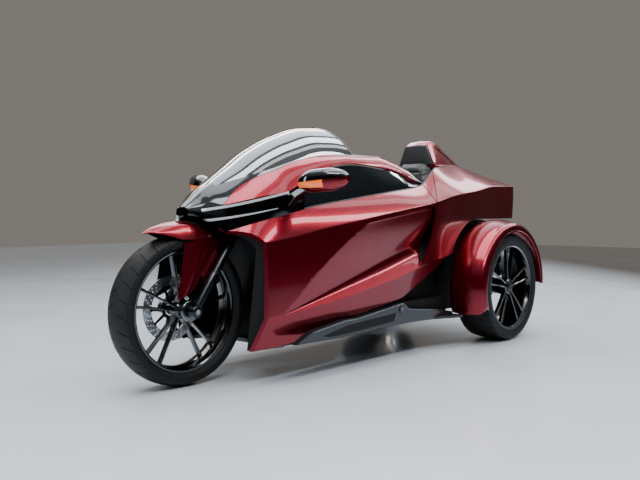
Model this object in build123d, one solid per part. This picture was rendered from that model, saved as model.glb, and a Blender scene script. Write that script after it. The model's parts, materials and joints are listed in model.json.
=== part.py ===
from build123d import *
import math
import os

# Delta trike: one steered front wheel, two rear wheels under round fenders, open faired cockpit.
# Millimetres. +X forward, +Y left, +Z up. The origin is on the floor, under the middle of the vehicle.
# Body shapes are given by stations: a station is the distance behind the front axle.

# Wheels
WHEELBASE = 2185
FRONT_TYRE_RADIUS = 357.5
FRONT_TYRE_WIDTH = 160
FRONT_RIM_RADIUS = 290
FRONT_RIM_WIDTH = 112
REAR_TYRE_RADIUS = 342.5
REAR_TYRE_WIDTH = 235
REAR_RIM_RADIUS = 270
REAR_RIM_WIDTH = 212
REAR_TYRE_INNER_Y = 365
SPOKE_PAIRS = 5
SPOKE_WIDTH = 11
RIM_WALL = 6
BEAD_DEPTH = 14
FLANGE = 8
CARCASS = 13
FIT_GAP = 0.3
RUNNING_GAP = 0.05

# Front end
RAKE = 35
FORK_OFFSET = 50
STEERING_LIMIT = 28
FORK_LEG_Y = 118
FORK_TUBE_RADIUS = 19
FORK_SLIDER_RADIUS = 24
FRONT_AXLE_RADIUS = 12.5
FRONT_HUB_RADIUS = 34
FRONT_HUB_HALF = 88
DISC_RADIUS = 158
DISC_Y = 68
DISC_THICKNESS = 5
STEM_RADIUS = 16
LOWER_YOKE_UP = 478
UPPER_YOKE_UP = 640
YOKE_THICKNESS = 24
YOKE_CLAMP_WALL = 12

# Rear end
REAR_AXLE_RADIUS = 20
REAR_HUB_RADIUS = 44
FENDER_CROWN_RADIUS = 430
FENDER_OUTER_Y = 620
FENDER_INNER_Y = 366
FENDER_WALL = 5
TAIL_OVERHANG = 565

# Body
PANEL_GAP = 3
GROOVE_DEPTH = 8
INTAKE_WIDTH = 34
INTAKE_INNER_Y = 316
COCKPIT_HALF_WIDTH = 300
TUB_WALL = 12
TUB_FLOOR_Z = 205
GLASS_THICKNESS = 4
ARCH_RADIUS = 432
RAIL_INNER_Y = 376
RAIL_OUTER_Y = 414
HUGE = 4000
STATION_STEP = 120
SCREEN_SIDES = 10

REAR = WHEELBASE
TAIL = WHEELBASE + TAIL_OVERHANG
MID_STATION = (TAIL - FRONT_TYRE_RADIUS) / 2
REAR_WHEEL_Y = REAR_TYRE_INNER_Y + REAR_TYRE_WIDTH / 2
FRONT_AXLE = Vector(MID_STATION, 0, FRONT_TYRE_RADIUS)
REAR_AXLE = Vector(MID_STATION - WHEELBASE, 0, REAR_TYRE_RADIUS)

parts = {}


def place(station, y, z):
    """A point of the body, from its station behind the front axle."""
    return Vector(MID_STATION - station, y, z)


def eased(rows, station):
    """Numbers of a table at a station: a cubic through the rows that never overshoots them."""
    i = max(k for k in range(len(rows) - 1) if rows[k][0] <= station or k == 0)
    x0, x1 = rows[i][0], rows[i + 1][0]
    t = (station - x0) / (x1 - x0)
    values = []
    for column in range(1, len(rows[0])):
        slopes = []
        for k in (i, i + 1):
            before = after = None
            if k > 0:
                before = (rows[k][column] - rows[k - 1][column]) / (rows[k][0] - rows[k - 1][0])
            if k < len(rows) - 1:
                after = (rows[k + 1][column] - rows[k][column]) / (rows[k + 1][0] - rows[k][0])
            if before is None or after is None:
                slopes.append(after if before is None else before)
            elif before * after <= 0:
                slopes.append(0)
            else:
                slopes.append(2 * before * after / (before + after))
        y0, y1 = rows[i][column], rows[i + 1][column]
        rise = x1 - x0
        values.append(
            y0 * (1 + 2 * t) * (1 - t) ** 2 + slopes[0] * rise * t * (1 - t) ** 2
            + y1 * t * t * (3 - 2 * t) + slopes[1] * rise * t * t * (t - 1))
    return values


def grid(rows, first, last, step=STATION_STEP):
    """Stations from first to last: every row of the table, and even steps between rows."""
    stations = [first]
    for row, following in zip(rows, rows[1:]):
        count = max(1, math.ceil((following[0] - row[0]) / step))
        for k in range(count):
            station = row[0] + (following[0] - row[0]) * k / count
            if first + 1 < station < last - 1:
                stations.append(station)
    if first + 1 < rows[-1][0] < last - 1:
        stations.append(rows[-1][0])
    return stations + [last]


def crowned(a, b, bulge, count=3):
    """Points between two corners, on a shallow crown that stands out by bulge, a excluded."""
    dy, dz = b[0] - a[0], b[1] - a[1]
    length = math.hypot(dy, dz)
    points = []
    for k in range(1, count + 2):
        t = k / (count + 1)
        out = 4 * bulge * t * (1 - t) / length
        points.append((a[0] + dy * t - dz * out, a[1] + dz * t + dy * out))
    return points


def skin(outer, wall):
    """Closed ring of an open outline and its copy one wall thickness inside it."""
    inner = []
    for i, (y, z) in enumerate(outer):
        before = outer[max(i - 1, 0)]
        after = outer[min(i + 1, len(outer) - 1)]
        dy, dz = after[0] - before[0], after[1] - before[1]
        length = math.hypot(dy, dz)
        inner.append((y + dz / length * wall, z - dy / length * wall))
    return list(outer) + inner[::-1]


def body_loft(stations, ring):
    """Solid through the closed outlines that ring(station) gives across the body."""
    wires = [
        Wire.make_polygon([place(s, y, z) for y, z in ring(s)], close=True) for s in stations]
    return Solid.make_loft(wires, ruled=True)


def side_prism(outline, y_low, y_high):
    """Solid with an outline in (station, z), from y_low to y_high."""
    points = [place(s, y_low, z) for s, z in outline]
    face = Face(Wire.make_polygon(points, close=True))
    return Solid.extrude(face, Vector(0, y_high - y_low, 0))


def beyond(point, normal):
    """Everything past the plane through a point, on the side its normal shows."""
    plane = Plane(origin=point, z_dir=normal)
    return plane * Pos(0, 0, HUGE / 2) * Box(HUGE, HUGE, HUGE)


def plane_normal(a, b, c, towards):
    """Normal of the plane through three points, on the side of a direction."""
    normal = (b - a).cross(c - a).normalized()
    return normal if normal.dot(towards) > 0 else normal * -1


def rod(start, end, radius):
    """Round bar between two points."""
    axis = end - start
    return Plane(origin=start, z_dir=axis) * Pos(0, 0, axis.length / 2) * Cylinder(radius, axis.length)


def across(radius, y_low, y_high, centre):
    """Round bar along Y, about a centre in X and Z."""
    return rod(Vector(centre.X, y_low, centre.Z), Vector(centre.X, y_high, centre.Z), radius)


def turned(outline, arcs, sweep=360, start=0):
    """Ring turned about the Y axis; outline holds (y, radius), arcs maps a side to its middle point."""
    edges = []
    for i, (y, r) in enumerate(outline):
        y_next, r_next = outline[(i + 1) % len(outline)]
        a, b = Vector(0, y, r), Vector(0, y_next, r_next)
        if i in arcs:
            edges.append(Edge.make_three_point_arc(a, Vector(0, *arcs[i]), b))
        else:
            edges.append(Edge.make_line(a, b))
    ring = Solid.revolve(Face(Wire(edges)), sweep, Axis.Y)
    return Rot(0, start, 0) * ring


def mirrored(solid):
    """The same piece on the right side."""
    return mirror(solid, about=Plane.XZ)


def both_sides(name, solid):
    """The left piece and its mirror image, each a node of its own."""
    parts[name + "_left"] = solid
    parts[name + "_right"] = mirrored(solid)


def tyre(radius, width, rim_radius, rim_width, tread_half, drop):
    """Hollow tyre with a crowned tread; drop is how far the tread falls away at its shoulder."""
    seat = rim_radius - BEAD_DEPTH + FIT_GAP
    bead = rim_width / 2 - FLANGE - FIT_GAP
    over_flange = rim_width / 2 + 2
    half = width / 2
    wall = (rim_radius + radius) / 2
    outline = [
        (-bead, seat),
        (-bead, rim_radius + FIT_GAP),
        (-over_flange, rim_radius + 4),
        (-tread_half, radius - drop),
        (tread_half, radius - drop),
        (over_flange, rim_radius + 4),
        (bead, rim_radius + FIT_GAP),
        (bead, seat),
        (bead - CARCASS, seat),
        (tread_half - CARCASS, radius - drop - CARCASS),
        (CARCASS - tread_half, radius - drop - CARCASS),
        (CARCASS - bead, seat),
    ]
    arcs = {
        2: (-half, wall),
        3: (0, radius),
        4: (half, wall),
        9: (0, radius - CARCASS - 4),
    }
    return turned(outline, arcs)


def rim(rim_radius, rim_width):
    """Wheel barrel with a bead seat and two flanges."""
    seat = rim_radius - BEAD_DEPTH
    half = rim_width / 2
    outline = [
        (-half, seat - RIM_WALL),
        (-half, rim_radius),
        (FLANGE - half, rim_radius),
        (FLANGE - half, seat),
        (half - FLANGE, seat),
        (half - FLANGE, rim_radius),
        (half, rim_radius),
        (half, seat - RIM_WALL),
    ]
    return turned(outline, {})


def spokes(hub_radius, rim_radius, y_low, y_high):
    """Pairs of thin spokes that spread from the hub to the barrel."""
    reach = rim_radius - BEAD_DEPTH - RIM_WALL / 2
    root = hub_radius - 4
    bars = []
    for pair in range(SPOKE_PAIRS):
        for side in (-1, 1):
            at_hub = math.radians(360 / SPOKE_PAIRS * pair + 90 + side * 16)
            at_rim = math.radians(360 / SPOKE_PAIRS * pair + 90 + side * 9.5)
            start = Vector(root * math.cos(at_hub), y_low, root * math.sin(at_hub))
            end = Vector(reach * math.cos(at_rim), y_low, reach * math.sin(at_rim))
            along = (end - start).normalized()
            half = Vector(-along.Z, 0, along.X) * (SPOKE_WIDTH / 2)
            corners = [start + half, end + half * 1.3, end - half * 1.3, start - half]
            face = Face(Wire.make_polygon(corners, close=True))
            bars.append(Solid.extrude(face, Vector(0, y_high - y_low, 0)))
    return bars


def wheel(rim_radius, rim_width, hub_radius, hub_low, hub_high, spoke_low, spoke_high, axle_radius):
    """One-piece wheel: barrel, spokes and a bored hub."""
    centre = Vector(0, 0, 0)
    body = rim(rim_radius, rim_width) + across(hub_radius, hub_low, hub_high, centre)
    body = body + spokes(hub_radius, rim_radius, spoke_low, spoke_high)
    return body - across(axle_radius + RUNNING_GAP, -HUGE, HUGE, centre)


# Front wheel
parts["front_tyre"] = Pos(*FRONT_AXLE) * tyre(
    FRONT_TYRE_RADIUS, FRONT_TYRE_WIDTH, FRONT_RIM_RADIUS, FRONT_RIM_WIDTH, 71, 25)
parts["front_wheel"] = Pos(*FRONT_AXLE) * wheel(
    FRONT_RIM_RADIUS, FRONT_RIM_WIDTH, FRONT_HUB_RADIUS, -FRONT_HUB_HALF, FRONT_HUB_HALF,
    -20, 20, FRONT_AXLE_RADIUS)
# One brake disc, on the right: the photo shows the spokes bare on the left
disc = across(DISC_RADIUS, DISC_Y, DISC_Y + DISC_THICKNESS, Vector(0, 0, 0))
disc = disc - across(FRONT_HUB_RADIUS + FIT_GAP, 0, HUGE, Vector(0, 0, 0))
for hole in range(10):
    angle = math.radians(36 * hole)
    at = Vector(92 * math.cos(angle), 0, 92 * math.sin(angle))
    disc = disc - across(22, 0, HUGE, at)
parts["front_disc"] = Pos(*FRONT_AXLE) * mirrored(disc)

# Rear wheels
rear_tyre = tyre(REAR_TYRE_RADIUS, REAR_TYRE_WIDTH, REAR_RIM_RADIUS, REAR_RIM_WIDTH, 106, 14)
rear_wheel = wheel(
    REAR_RIM_RADIUS, REAR_RIM_WIDTH, REAR_HUB_RADIUS, -40, 92, 66, 86, REAR_AXLE_RADIUS)
rear_hub_at = REAR_AXLE + Vector(0, REAR_WHEEL_Y, 0)
both_sides("rear_tyre", Pos(*rear_hub_at) * rear_tyre)
both_sides("rear_wheel", Pos(*rear_hub_at) * rear_wheel)

# Steering axis: it lies behind the fork legs by the fork's offset
rake = math.radians(RAKE)
STEER_UP = Vector(-math.sin(rake), 0, math.cos(rake))
STEER_FORWARD = Vector(math.cos(rake), 0, math.sin(rake))
STEER_FOOT = FRONT_AXLE - STEER_FORWARD * FORK_OFFSET


def up_the_stem(height):
    """Point of the steering axis, by its distance above the wheel's axle."""
    return STEER_FOOT + STEER_UP * height


# Fork legs: slider, step and upper tube, with a boss round the axle
leg_top = UPPER_YOKE_UP + YOKE_THICKNESS / 2 + 8
leg_foot = FRONT_AXLE + Vector(0, FORK_LEG_Y, 0)
slider_top = leg_foot + STEER_UP * 205
leg = rod(leg_foot, slider_top, FORK_SLIDER_RADIUS)
leg = leg + rod(slider_top, leg_foot + STEER_UP * leg_top, FORK_TUBE_RADIUS)
leg = leg + across(30, FORK_LEG_Y - 25, FORK_LEG_Y + 22, FRONT_AXLE)
leg = leg - across(FRONT_AXLE_RADIUS + RUNNING_GAP, 0, HUGE, FRONT_AXLE)
parts["fork_legs"] = Compound(children=[leg, mirrored(leg)])
parts["front_axle"] = across(FRONT_AXLE_RADIUS, -FORK_LEG_Y - 24, FORK_LEG_Y + 24, FRONT_AXLE)


def yoke(height):
    """Plate across the steering axis that clamps both legs."""
    plane = Plane(origin=up_the_stem(height), x_dir=Vector(0, 1, 0), z_dir=STEER_UP)
    forward = -FORK_OFFSET if plane.y_dir.dot(STEER_FORWARD) < 0 else FORK_OFFSET
    blank = Pos(0, forward * 0.5, 0) * Box(2 * FORK_LEG_Y - 20, FORK_OFFSET + 40, YOKE_THICKNESS)
    for side in (-1, 1):
        blank = blank + Pos(side * FORK_LEG_Y, forward, 0) * Cylinder(
            FORK_TUBE_RADIUS + YOKE_CLAMP_WALL, YOKE_THICKNESS)
    for side in (-1, 1):
        blank = blank - Pos(side * FORK_LEG_Y, forward, 0) * Cylinder(
            FORK_TUBE_RADIUS + RUNNING_GAP, HUGE)
    return plane * blank


stem = rod(up_the_stem(LOWER_YOKE_UP), up_the_stem(UPPER_YOKE_UP), STEM_RADIUS)
parts["fork_yokes"] = yoke(LOWER_YOKE_UP) + yoke(UPPER_YOKE_UP) + stem

# Caliper: a block over the disc's rear edge, with a lug to the right leg
caliper_at = FRONT_AXLE + STEER_UP * 138 - STEER_FORWARD * 60
caliper_plane = Plane(origin=caliper_at, x_dir=STEER_FORWARD, z_dir=Vector(0, -1, 0))
caliper = caliper_plane * Pos(0, 0, -(DISC_Y + 6)) * Box(62, 96, 46)
caliper = caliper - across(DISC_RADIUS + 6, DISC_Y - 6, DISC_Y + DISC_THICKNESS + 6, FRONT_AXLE)
lug = rod(
    caliper_at + Vector(0, DISC_Y + 20, 0),
    leg_foot + STEER_UP * 138 - Vector(0, 14, 0), 12)
leg_space = rod(leg_foot, slider_top, FORK_SLIDER_RADIUS + FIT_GAP)
caliper = caliper + (lug - leg_space)
parts["front_caliper"] = mirrored(caliper)

# Front fender: a gabled arc over the tyre, with a pointed blade down each side
fender_outline = [
    (0, 424), (60, 407), (94, 352), (90, 350), (57, 402),
    (0, 418), (-57, 402), (-90, 350), (-94, 352), (-60, 407)]
front_fender = turned(fender_outline, {}, sweep=66, start=-33)
BLADE_Y = (88.5, 92.5)
FENDER_BOSS_UP = 190
blade_outline = [
    (-37, 660), (-52, 545), (-79, 418), (-4, 440), (62, 520), (150, 640), (205, 690), (120, 712), (0, 722)]
blade_tab = [(62, 520), (150, 640), (172, 600), (88, 478)]
blade = side_prism(blade_outline, *BLADE_Y) + side_prism(blade_tab, *BLADE_Y)
boss_at = leg_foot + STEER_UP * FENDER_BOSS_UP
boss = across(9, BLADE_Y[0] + 1.5, FORK_LEG_Y, boss_at)
blade = blade + (boss - leg_space)
front_fender = Pos(*FRONT_AXLE) * front_fender + blade + mirrored(blade)
parts["front_fender"] = front_fender

# Side body: one surface from nose to tail, cut into panels where the real ones meet
# station; y and z of the top edge, shoulder crease, lower crease and sill; y of the inner sill;
# y and z of the inner shoulder and of the inner top
SIDE_SECTIONS = [
    (120, 190, 728, 318, 658, 318, 300, 268, 158, 232, 275, 612, 172, 700),
    (270, 266, 775, 340, 679, 345, 322, 300, 166, 258, 285, 655, 250, 748),
    (430, 296, 810, 358, 701, 362, 343, 320, 178, 285, 292, 690, 280, 786),
    (600, 306, 846, 377, 735, 384, 372, 342, 222, 300, 300, 720, 300, 828),
    (900, 320, 889, 400, 780, 410, 421, 370, 278, 300, 300, 760, 300, 868),
    (REAR - 935, 328, 935, 413, 832, 423, 480, 390, 335, 300, 300, 800, 300, 912),
    (REAR - 625, 306, 977, 402, 874, 418, 532, 385, 410, 300, 300, 838, 292, 950),
    (REAR - 335, 232, 1103, 374, 925, 385, 575, 350, 500, 310, 335, 900, 222, 1076),
    (REAR - 35, 158, 1138, 348, 958, 352, 620, 330, 560, 300, 318, 930, 158, 1112),
    (REAR + 265, 155, 1101, 320, 999, 325, 690, 310, 640, 285, 290, 968, 155, 1076),
    (TAIL, 150, 1054, 300, 1006, 306, 760, 295, 740, 270, 272, 978, 150, 1028),
]
TOP_CROWN = 4
SIDE_CROWN = 4


def side_ring(station):
    """Outline of the left body side at a station."""
    v = eased(SIDE_SECTIONS, station)
    top, shoulder, crease, sill = [(v[k], v[k + 1]) for k in (0, 2, 4, 6)]
    ring = [top] + crowned(top, shoulder, TOP_CROWN) + crowned(shoulder, crease, SIDE_CROWN) + [sill]
    return ring + [(v[8], sill[1]), (v[9], v[10]), (v[11], v[12])]


TAIL_LEAN = 30
side_shell = body_loft(grid(SIDE_SECTIONS, SIDE_SECTIONS[0][0], TAIL), side_ring)
side_shell = side_shell - beyond(place(TAIL, 0, 1006), Vector(-221, 0, -TAIL_LEAN))

# Seams, in (station, z): the slot runs down from the shoulder, then back along the lower crease
SLOT_TOP = (REAR - 585, 892)
SLOT_MIDDLE = (REAR - 632, 715)
SLOT_FOOT = (REAR - 790, 512)
TONGUE_END = (REAR - 385, 566)
COLLAR_TOP = (REAR - 335, 1160)


def slot_region():
    """What lies behind the slot and above the tongue."""
    top, middle, foot, end = [place(s, 100, z) for s, z in (SLOT_TOP, SLOT_MIDDLE, SLOT_FOOT, TONGUE_END)]
    far = place(TAIL + 200, 100, TONGUE_END[1])
    roof = 1400
    corner = Vector(far.X, 100, roof)
    over_top = Vector(top.X, 100, roof)
    edges = [
        Edge.make_three_point_arc(top, middle, foot),
        Edge.make_line(foot, end),
        Edge.make_line(end, far),
        Edge.make_line(far, corner),
        Edge.make_line(corner, over_top),
        Edge.make_line(over_top, top),
    ]
    return Solid.extrude(Face(Wire(edges)), Vector(0, 500, 0))


behind_slot = slot_region()
collar_zone = side_prism(
    [SLOT_TOP, (SLOT_TOP[0], 1300), (COLLAR_TOP[0] + 90, 1300), COLLAR_TOP], 100, 600)
wheel_arch = across(ARCH_RADIUS, 0, 700, REAR_AXLE)

# Front edge: swept in plan from the top edge out to the shoulder
ahead_of_panel = beyond(place(150, 215, 0), Vector(121, 100, 0))

# Lower rear edge of the side panel rises behind the cockpit to the end of the tongue
under_tongue = beyond(place(REAR - 915, 0, 338), Vector(-228, 0, -472))

# Intake ramp: starts flush at the diagonal crease and sinks inboard towards the slot
tip = place(360, 352, 330)
ramp_top = place(925, 404, 764)
ramp_deep = place(REAR - 785, 340, 560)
crease_end = place(REAR - 785, 424, 505)
ramp_roof_end = place(REAR - 585, 402, 862)
ramp_zone = side_prism([(250, 250), (250, 900), (REAR - 485, 960), (REAR - 485, 400)], 200, 600)
ramp = ramp_zone - beyond(ramp_top, plane_normal(tip, ramp_top, ramp_deep, Vector(0, -1, 0)))
ramp = ramp - beyond(crease_end, plane_normal(
    tip, crease_end, crease_end + Vector(0, -45, 45), Vector(0, 0, -1)))
ramp = ramp - beyond(ramp_top, plane_normal(
    ramp_top, ramp_roof_end, ramp_top + Vector(0, -45, -25), Vector(0, 0, 1)))

# Panels meet face to face, with a groove along each seam
outer_skin = side_shell - Pos(0, -GROOVE_DEPTH, -GROOVE_DEPTH) * side_shell
ahead_of_slot = Pos(PANEL_GAP, 0, 0) * behind_slot + Pos(0, 0, -PANEL_GAP) * behind_slot
side_panel = side_shell - ahead_of_panel - under_tongue - wheel_arch - behind_slot - ramp
side_panel = side_panel - (ahead_of_slot & outer_skin)
intake = (Pos(INTAKE_WIDTH, 0, 0) * behind_slot) & ramp_zone
side_panel = side_panel - (intake & side_prism(
    [(250, SLOT_FOOT[1] + 25), (250, 820), (REAR - 485, 820), (REAR - 485, SLOT_FOOT[1] + 25)],
    INTAKE_INNER_Y, 600))
both_sides("side_panel", side_panel)

quarter = (side_shell & behind_slot) - wheel_arch
quarter = quarter - side_prism([(REAR, 300), (REAR, 776), (TAIL + 100, 776), (TAIL + 100, 300)], 0, 700)
collar = quarter & collar_zone
quarter = quarter - collar_zone - (Pos(-PANEL_GAP, 0, 0) * collar_zone & outer_skin)
both_sides("rear_quarter", quarter)
both_sides("cockpit_collar", collar)

# Upper body: one surface for the nose, the arch rails, the side windows and the windscreen
# station; y and z of the lamp strip or the arch's outer edge, and of the glass edge; z of the crown
UPPER_SECTIONS = [
    (20, 44, 830, 25, 840, 845),
    (70, 100, 838, 35, 880, 888),
    (120, 158, 853, 50, 925, 932),
    (170, 208, 867, 70, 950, 968),
    (300, 268, 898, 140, 996, 1055),
    (430, 298, 922, 184, 1038, 1140),
    (600, 297, 1000, 214, 1092, 1222),
    (800, 296, 1070, 238, 1127, 1283),
    (960, 296, 1085, 249, 1136, 1296),
    (REAR - 985, 295, 1072, 252, 1138, 1290),
    (REAR - 825, 296, 1050, 256, 1112, 1270),
    (REAR - 695, 300, 998, 266, 1070, 1250),
    (REAR - 595, 298, 990, 278, 1008, 1230),
]
NOSE_TIP = 20
NOSE_TIP_BASE = (42, 806)
NOSE_END = 170
BAND_END = 545
SCREEN_END = 990
WINDOW_END = REAR - 645
ARCH_END = REAR - 595
ARCH_WALL = 14
NOSE_WALL = 12
GLASS_INSET = 6


def upper_points(station):
    """Base, strip and glass edge of the left side, and the crown's height."""
    v = eased(UPPER_SECTIONS, station)
    first = SIDE_SECTIONS[0][0]
    side = eased(SIDE_SECTIONS, max(station, first))
    base = (side[0], side[1] + FIT_GAP)
    if station < first:
        t = (station - NOSE_TIP) / (first - NOSE_TIP)
        tip_y, tip_z = NOSE_TIP_BASE
        base = (tip_y + (base[0] - tip_y) * t, tip_z + (base[1] - tip_z) * t * t)
    return base, (v[0], v[1]), (v[2], v[3]), v[4]


def opposite(points):
    """The same outline on the other side, in the order that continues it."""
    return [(-y, z) for y, z in reversed(points)]


def nose_ring(station):
    """Closed outline of the whole nose."""
    base, strip, glass, crown = upper_points(station)
    left = [base] + crowned(base, strip, -4) + crowned(strip, glass, -6)
    return left + [(0, crown)] + opposite(left)


def nose_hollow_ring(station):
    """Outline of the space inside the nose, open downwards."""
    base, strip, glass, crown = upper_points(station)
    left = [(base[0] - NOSE_WALL, base[1] - 60), (strip[0] - NOSE_WALL, strip[1] - NOSE_WALL / 2)]
    left = left + [(max(glass[0] - NOSE_WALL, 8), glass[1] - NOSE_WALL - 4)]
    return left + [(0, crown - NOSE_WALL - 4)] + opposite(left)


def band_ring(station):
    """Side band of the nose, from the base line to the lamp strip's upper edge."""
    base, strip, glass, crown = upper_points(station)
    return skin([base] + crowned(base, strip, -4), -NOSE_WALL)


def arch_ring(station):
    """Arch rail, from its outer edge to the edge of the glass."""
    base, strip, glass, crown = upper_points(station)
    return skin([strip] + crowned(strip, glass, -6), -ARCH_WALL)


def window_ring(station):
    """Side window, set in behind the arch's edge and standing on the belt."""
    base, strip, glass, crown = upper_points(station)
    low = (base[0] - GLASS_INSET, base[1] + FIT_GAP)
    high = (strip[0] - GLASS_INSET, strip[1] - GLASS_INSET - 4)
    return skin([low] + crowned(low, high, -3), -GLASS_THICKNESS)


def screen_ring(station):
    """Windscreen: an arc over the cockpit from one glass edge to the other."""
    base, strip, glass, crown = upper_points(station)
    half, height = glass[0], crown - glass[1]
    radius = (half * half + height * height) / (2 * height)
    reach = math.atan2(half, radius - height)
    arc = []
    for k in range(SCREEN_SIDES + 1):
        angle = reach * (1 - 2 * k / SCREEN_SIDES)
        arc.append((radius * math.sin(angle), crown - radius + radius * math.cos(angle)))
    return skin(arc, -GLASS_THICKNESS)


nose_shell = body_loft(grid(UPPER_SECTIONS, NOSE_TIP, NOSE_END), nose_ring)
hollow = body_loft(grid(UPPER_SECTIONS, NOSE_TIP + 14, NOSE_END), nose_hollow_ring)
nose_shell = nose_shell - hollow
upper_grid = grid(UPPER_SECTIONS, NOSE_END, ARCH_END)
band = body_loft([s for s in upper_grid if s < BAND_END] + [BAND_END], band_ring)
nose = nose_shell + band + mirrored(band)
arch = body_loft(upper_grid, arch_ring)
arch = arch - nose
both_sides("arch_rail", arch)

# Lamp strips are set flush into the nose: an upper and a lower one on each side
lamp_zone = side_prism([(60, 812), (60, 838), (440, 930), (440, 898)], 40, 400)
lamp_zone = lamp_zone + side_prism([(60, 772), (60, 792), (380, 846), (380, 826)], 40, 400)
lamp = nose & lamp_zone
nose = nose - lamp_zone - mirrored(lamp_zone)
parts["nose_panel"] = nose
both_sides("headlamp", lamp)

windscreen = body_loft(grid(UPPER_SECTIONS, NOSE_END, SCREEN_END + 60), screen_ring)
windscreen = windscreen - beyond(place(925, 0, 1296), Vector(-158, 0, 66))
windscreen = windscreen - arch - mirrored(arch) - nose
parts["windscreen"] = windscreen

window_start = BAND_END + FIT_GAP
window = body_loft(grid(UPPER_SECTIONS, window_start, WINDOW_END), window_ring)
both_sides("side_window", window)

# Cockpit tub: floor, sides, front bulkhead and seat bulkhead
tub_side = COCKPIT_HALF_WIDTH - FIT_GAP
TUB_FRONT = 622
TUB_FRONT_Z = 815
TUB_REAR = REAR - 200
tub_outline = [
    (TUB_FRONT, TUB_FLOOR_Z), (TUB_FRONT, TUB_FRONT_Z), (640, TUB_FRONT_Z), (REAR - 985, 872),
    (REAR - 660, 812), (TUB_REAR, 812), (TUB_REAR, TUB_FLOOR_Z)]
tub = side_prism(tub_outline, -tub_side, tub_side)
tub_hollow = side_prism(
    [(TUB_FRONT + TUB_WALL, TUB_FLOOR_Z + TUB_WALL), (TUB_FRONT + TUB_WALL, 1500),
     (TUB_REAR - TUB_WALL, 1500), (TUB_REAR - TUB_WALL, TUB_FLOOR_Z + TUB_WALL)],
    TUB_WALL - tub_side, tub_side - TUB_WALL)
tub = tub - tub_hollow
bulkhead_ring = [(270, 800), (262, 900), (150, 1095), (-150, 1095), (-262, 900), (-270, 800)]
bulkhead = body_loft([TUB_REAR - 14, TUB_REAR], lambda s: bulkhead_ring)
parts["cockpit_tub"] = tub + bulkhead

# Rear deck between the quarters, from the hump's foot to the tail
def deck_ring(station):
    """Deck strip with chamfered edges, level with the quarters' top edges."""
    v = eased(SIDE_SECTIONS, station)
    y, z = min(v[0], v[11]), v[1]
    left = [(y, z - DECK_WALL), (y, z - PANEL_GAP), (y - PANEL_GAP, z)]
    return left + [(0, z + DECK_CROWN)] + opposite(left)


DECK_WALL = 22
DECK_CROWN = 9
DECK_FRONT = REAR - 215
deck = body_loft(grid(SIDE_SECTIONS, DECK_FRONT, TAIL), deck_ring)
parts["rear_deck"] = deck

# Headrest hump on the deck: front width and height, fading into the deck
# station; half width and height of the foot, half width and height of the top
HUMP_SECTIONS = [
    (REAR - 223, 143, 1118, 84, 1268),
    (REAR - 170, 141, 1110, 80, 1296),
    (REAR + 100, 112, 1090, 50, 1214),
    (REAR + 290, 74, 1062, 28, 1146),
    (REAR + 470, 36, 1050, 10, 1082),
]


def hump_ring(station):
    """Hump outline: a flat top and sloping sides."""
    foot_y, foot_z, top_y, top_z = eased(HUMP_SECTIONS, station)
    left = [(foot_y, foot_z), (foot_y, foot_z + 12), (top_y + 4, top_z - 10), (top_y - 8, top_z)]
    return left + [(0, top_z + 3)] + opposite(left)


def under_deck_ring(station):
    """Everything from the deck's surface down, to seat the hump on it."""
    ring = deck_ring(station)
    return [(ring[0][0], 900)] + ring[1:-1] + [(ring[-1][0], 900)]


under_deck = body_loft(grid(SIDE_SECTIONS, DECK_FRONT, TAIL), under_deck_ring)
hump_start = HUMP_SECTIONS[0][0]
hump = body_loft(grid(HUMP_SECTIONS, hump_start, HUMP_SECTIONS[-1][0]), hump_ring)
hump = hump - under_deck
parts["headrest_hump"] = hump

# Headrest pad on the hump's front, seat back and seat cushion
HEADREST_THICKNESS = 14
SEAT_TOP = 1160


def headrest_ring(station):
    """Trapezoid a little inside the hump's front face."""
    left = [(121, SEAT_TOP + 2), (78, 1258)]
    return left + opposite(left)


parts["headrest_pad"] = body_loft(
    [hump_start - HEADREST_THICKNESS - FIT_GAP, hump_start - FIT_GAP], headrest_ring)


def upright_loft(rows):
    """Solid through level outlines: rows of height, front and rear station, half width, corner cut."""
    wires = []
    for z, front, rear, half, corner in rows:
        level = [
            (front, half - corner), (front + corner, half), (rear, half),
            (rear, -half), (front + corner, -half), (front, corner - half)]
        wires.append(Wire.make_polygon([place(s, y, z) for s, y in level], close=True))
    return Solid.make_loft(wires, ruled=True)


SEAT_REAR = TUB_REAR - 15
parts["seat_back"] = upright_loft([
    (470, SEAT_REAR - 190, SEAT_REAR - 90, 225, 30),
    (700, SEAT_REAR - 150, SEAT_REAR - 52, 215, 40),
    (920, SEAT_REAR - 108, SEAT_REAR - 22, 180, 45),
    (1060, SEAT_REAR - 86, SEAT_REAR - 10, 150, 45),
    (1128, SEAT_REAR - 74, SEAT_REAR - 8, 132, 40),
    (SEAT_TOP, SEAT_REAR - 62, SEAT_REAR - 22, 100, 20),
])
parts["seat_cushion"] = upright_loft([
    (TUB_FLOOR_Z + TUB_WALL, SEAT_REAR - 560, SEAT_REAR - 120, 225, 20),
    (360, SEAT_REAR - 590, SEAT_REAR - 130, 240, 40),
    (440, SEAT_REAR - 600, SEAT_REAR - 192, 240, 50),
    (468, SEAT_REAR - 560, SEAT_REAR - 210, 200, 50),
])

# Dash under the windscreen, with a bearing for the handlebar's column
# Its front stays above the highest place that the fork's legs reach when they are steered
DASH_CLEARANCE = 8
lock = math.radians(STEERING_LIMIT)
clamp_radius = FORK_TUBE_RADIUS + YOKE_CLAMP_WALL
fork_reach = FORK_OFFSET * math.cos(lock) + FORK_LEG_Y * math.sin(lock) + clamp_radius
dash_low = up_the_stem(leg_top).Z + STEER_FORWARD.Z * fork_reach + DASH_CLEARANCE
# station; half width; z of the top and of the underside
DASH_SECTIONS = [
    (215, 80, dash_low + 8, dash_low),
    (310, 150, dash_low + 12, dash_low),
    (450, 205, dash_low + 20, dash_low),
    (650, 258, dash_low + 34, dash_low),
    (930, 284, 1004, 900),
]


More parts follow.
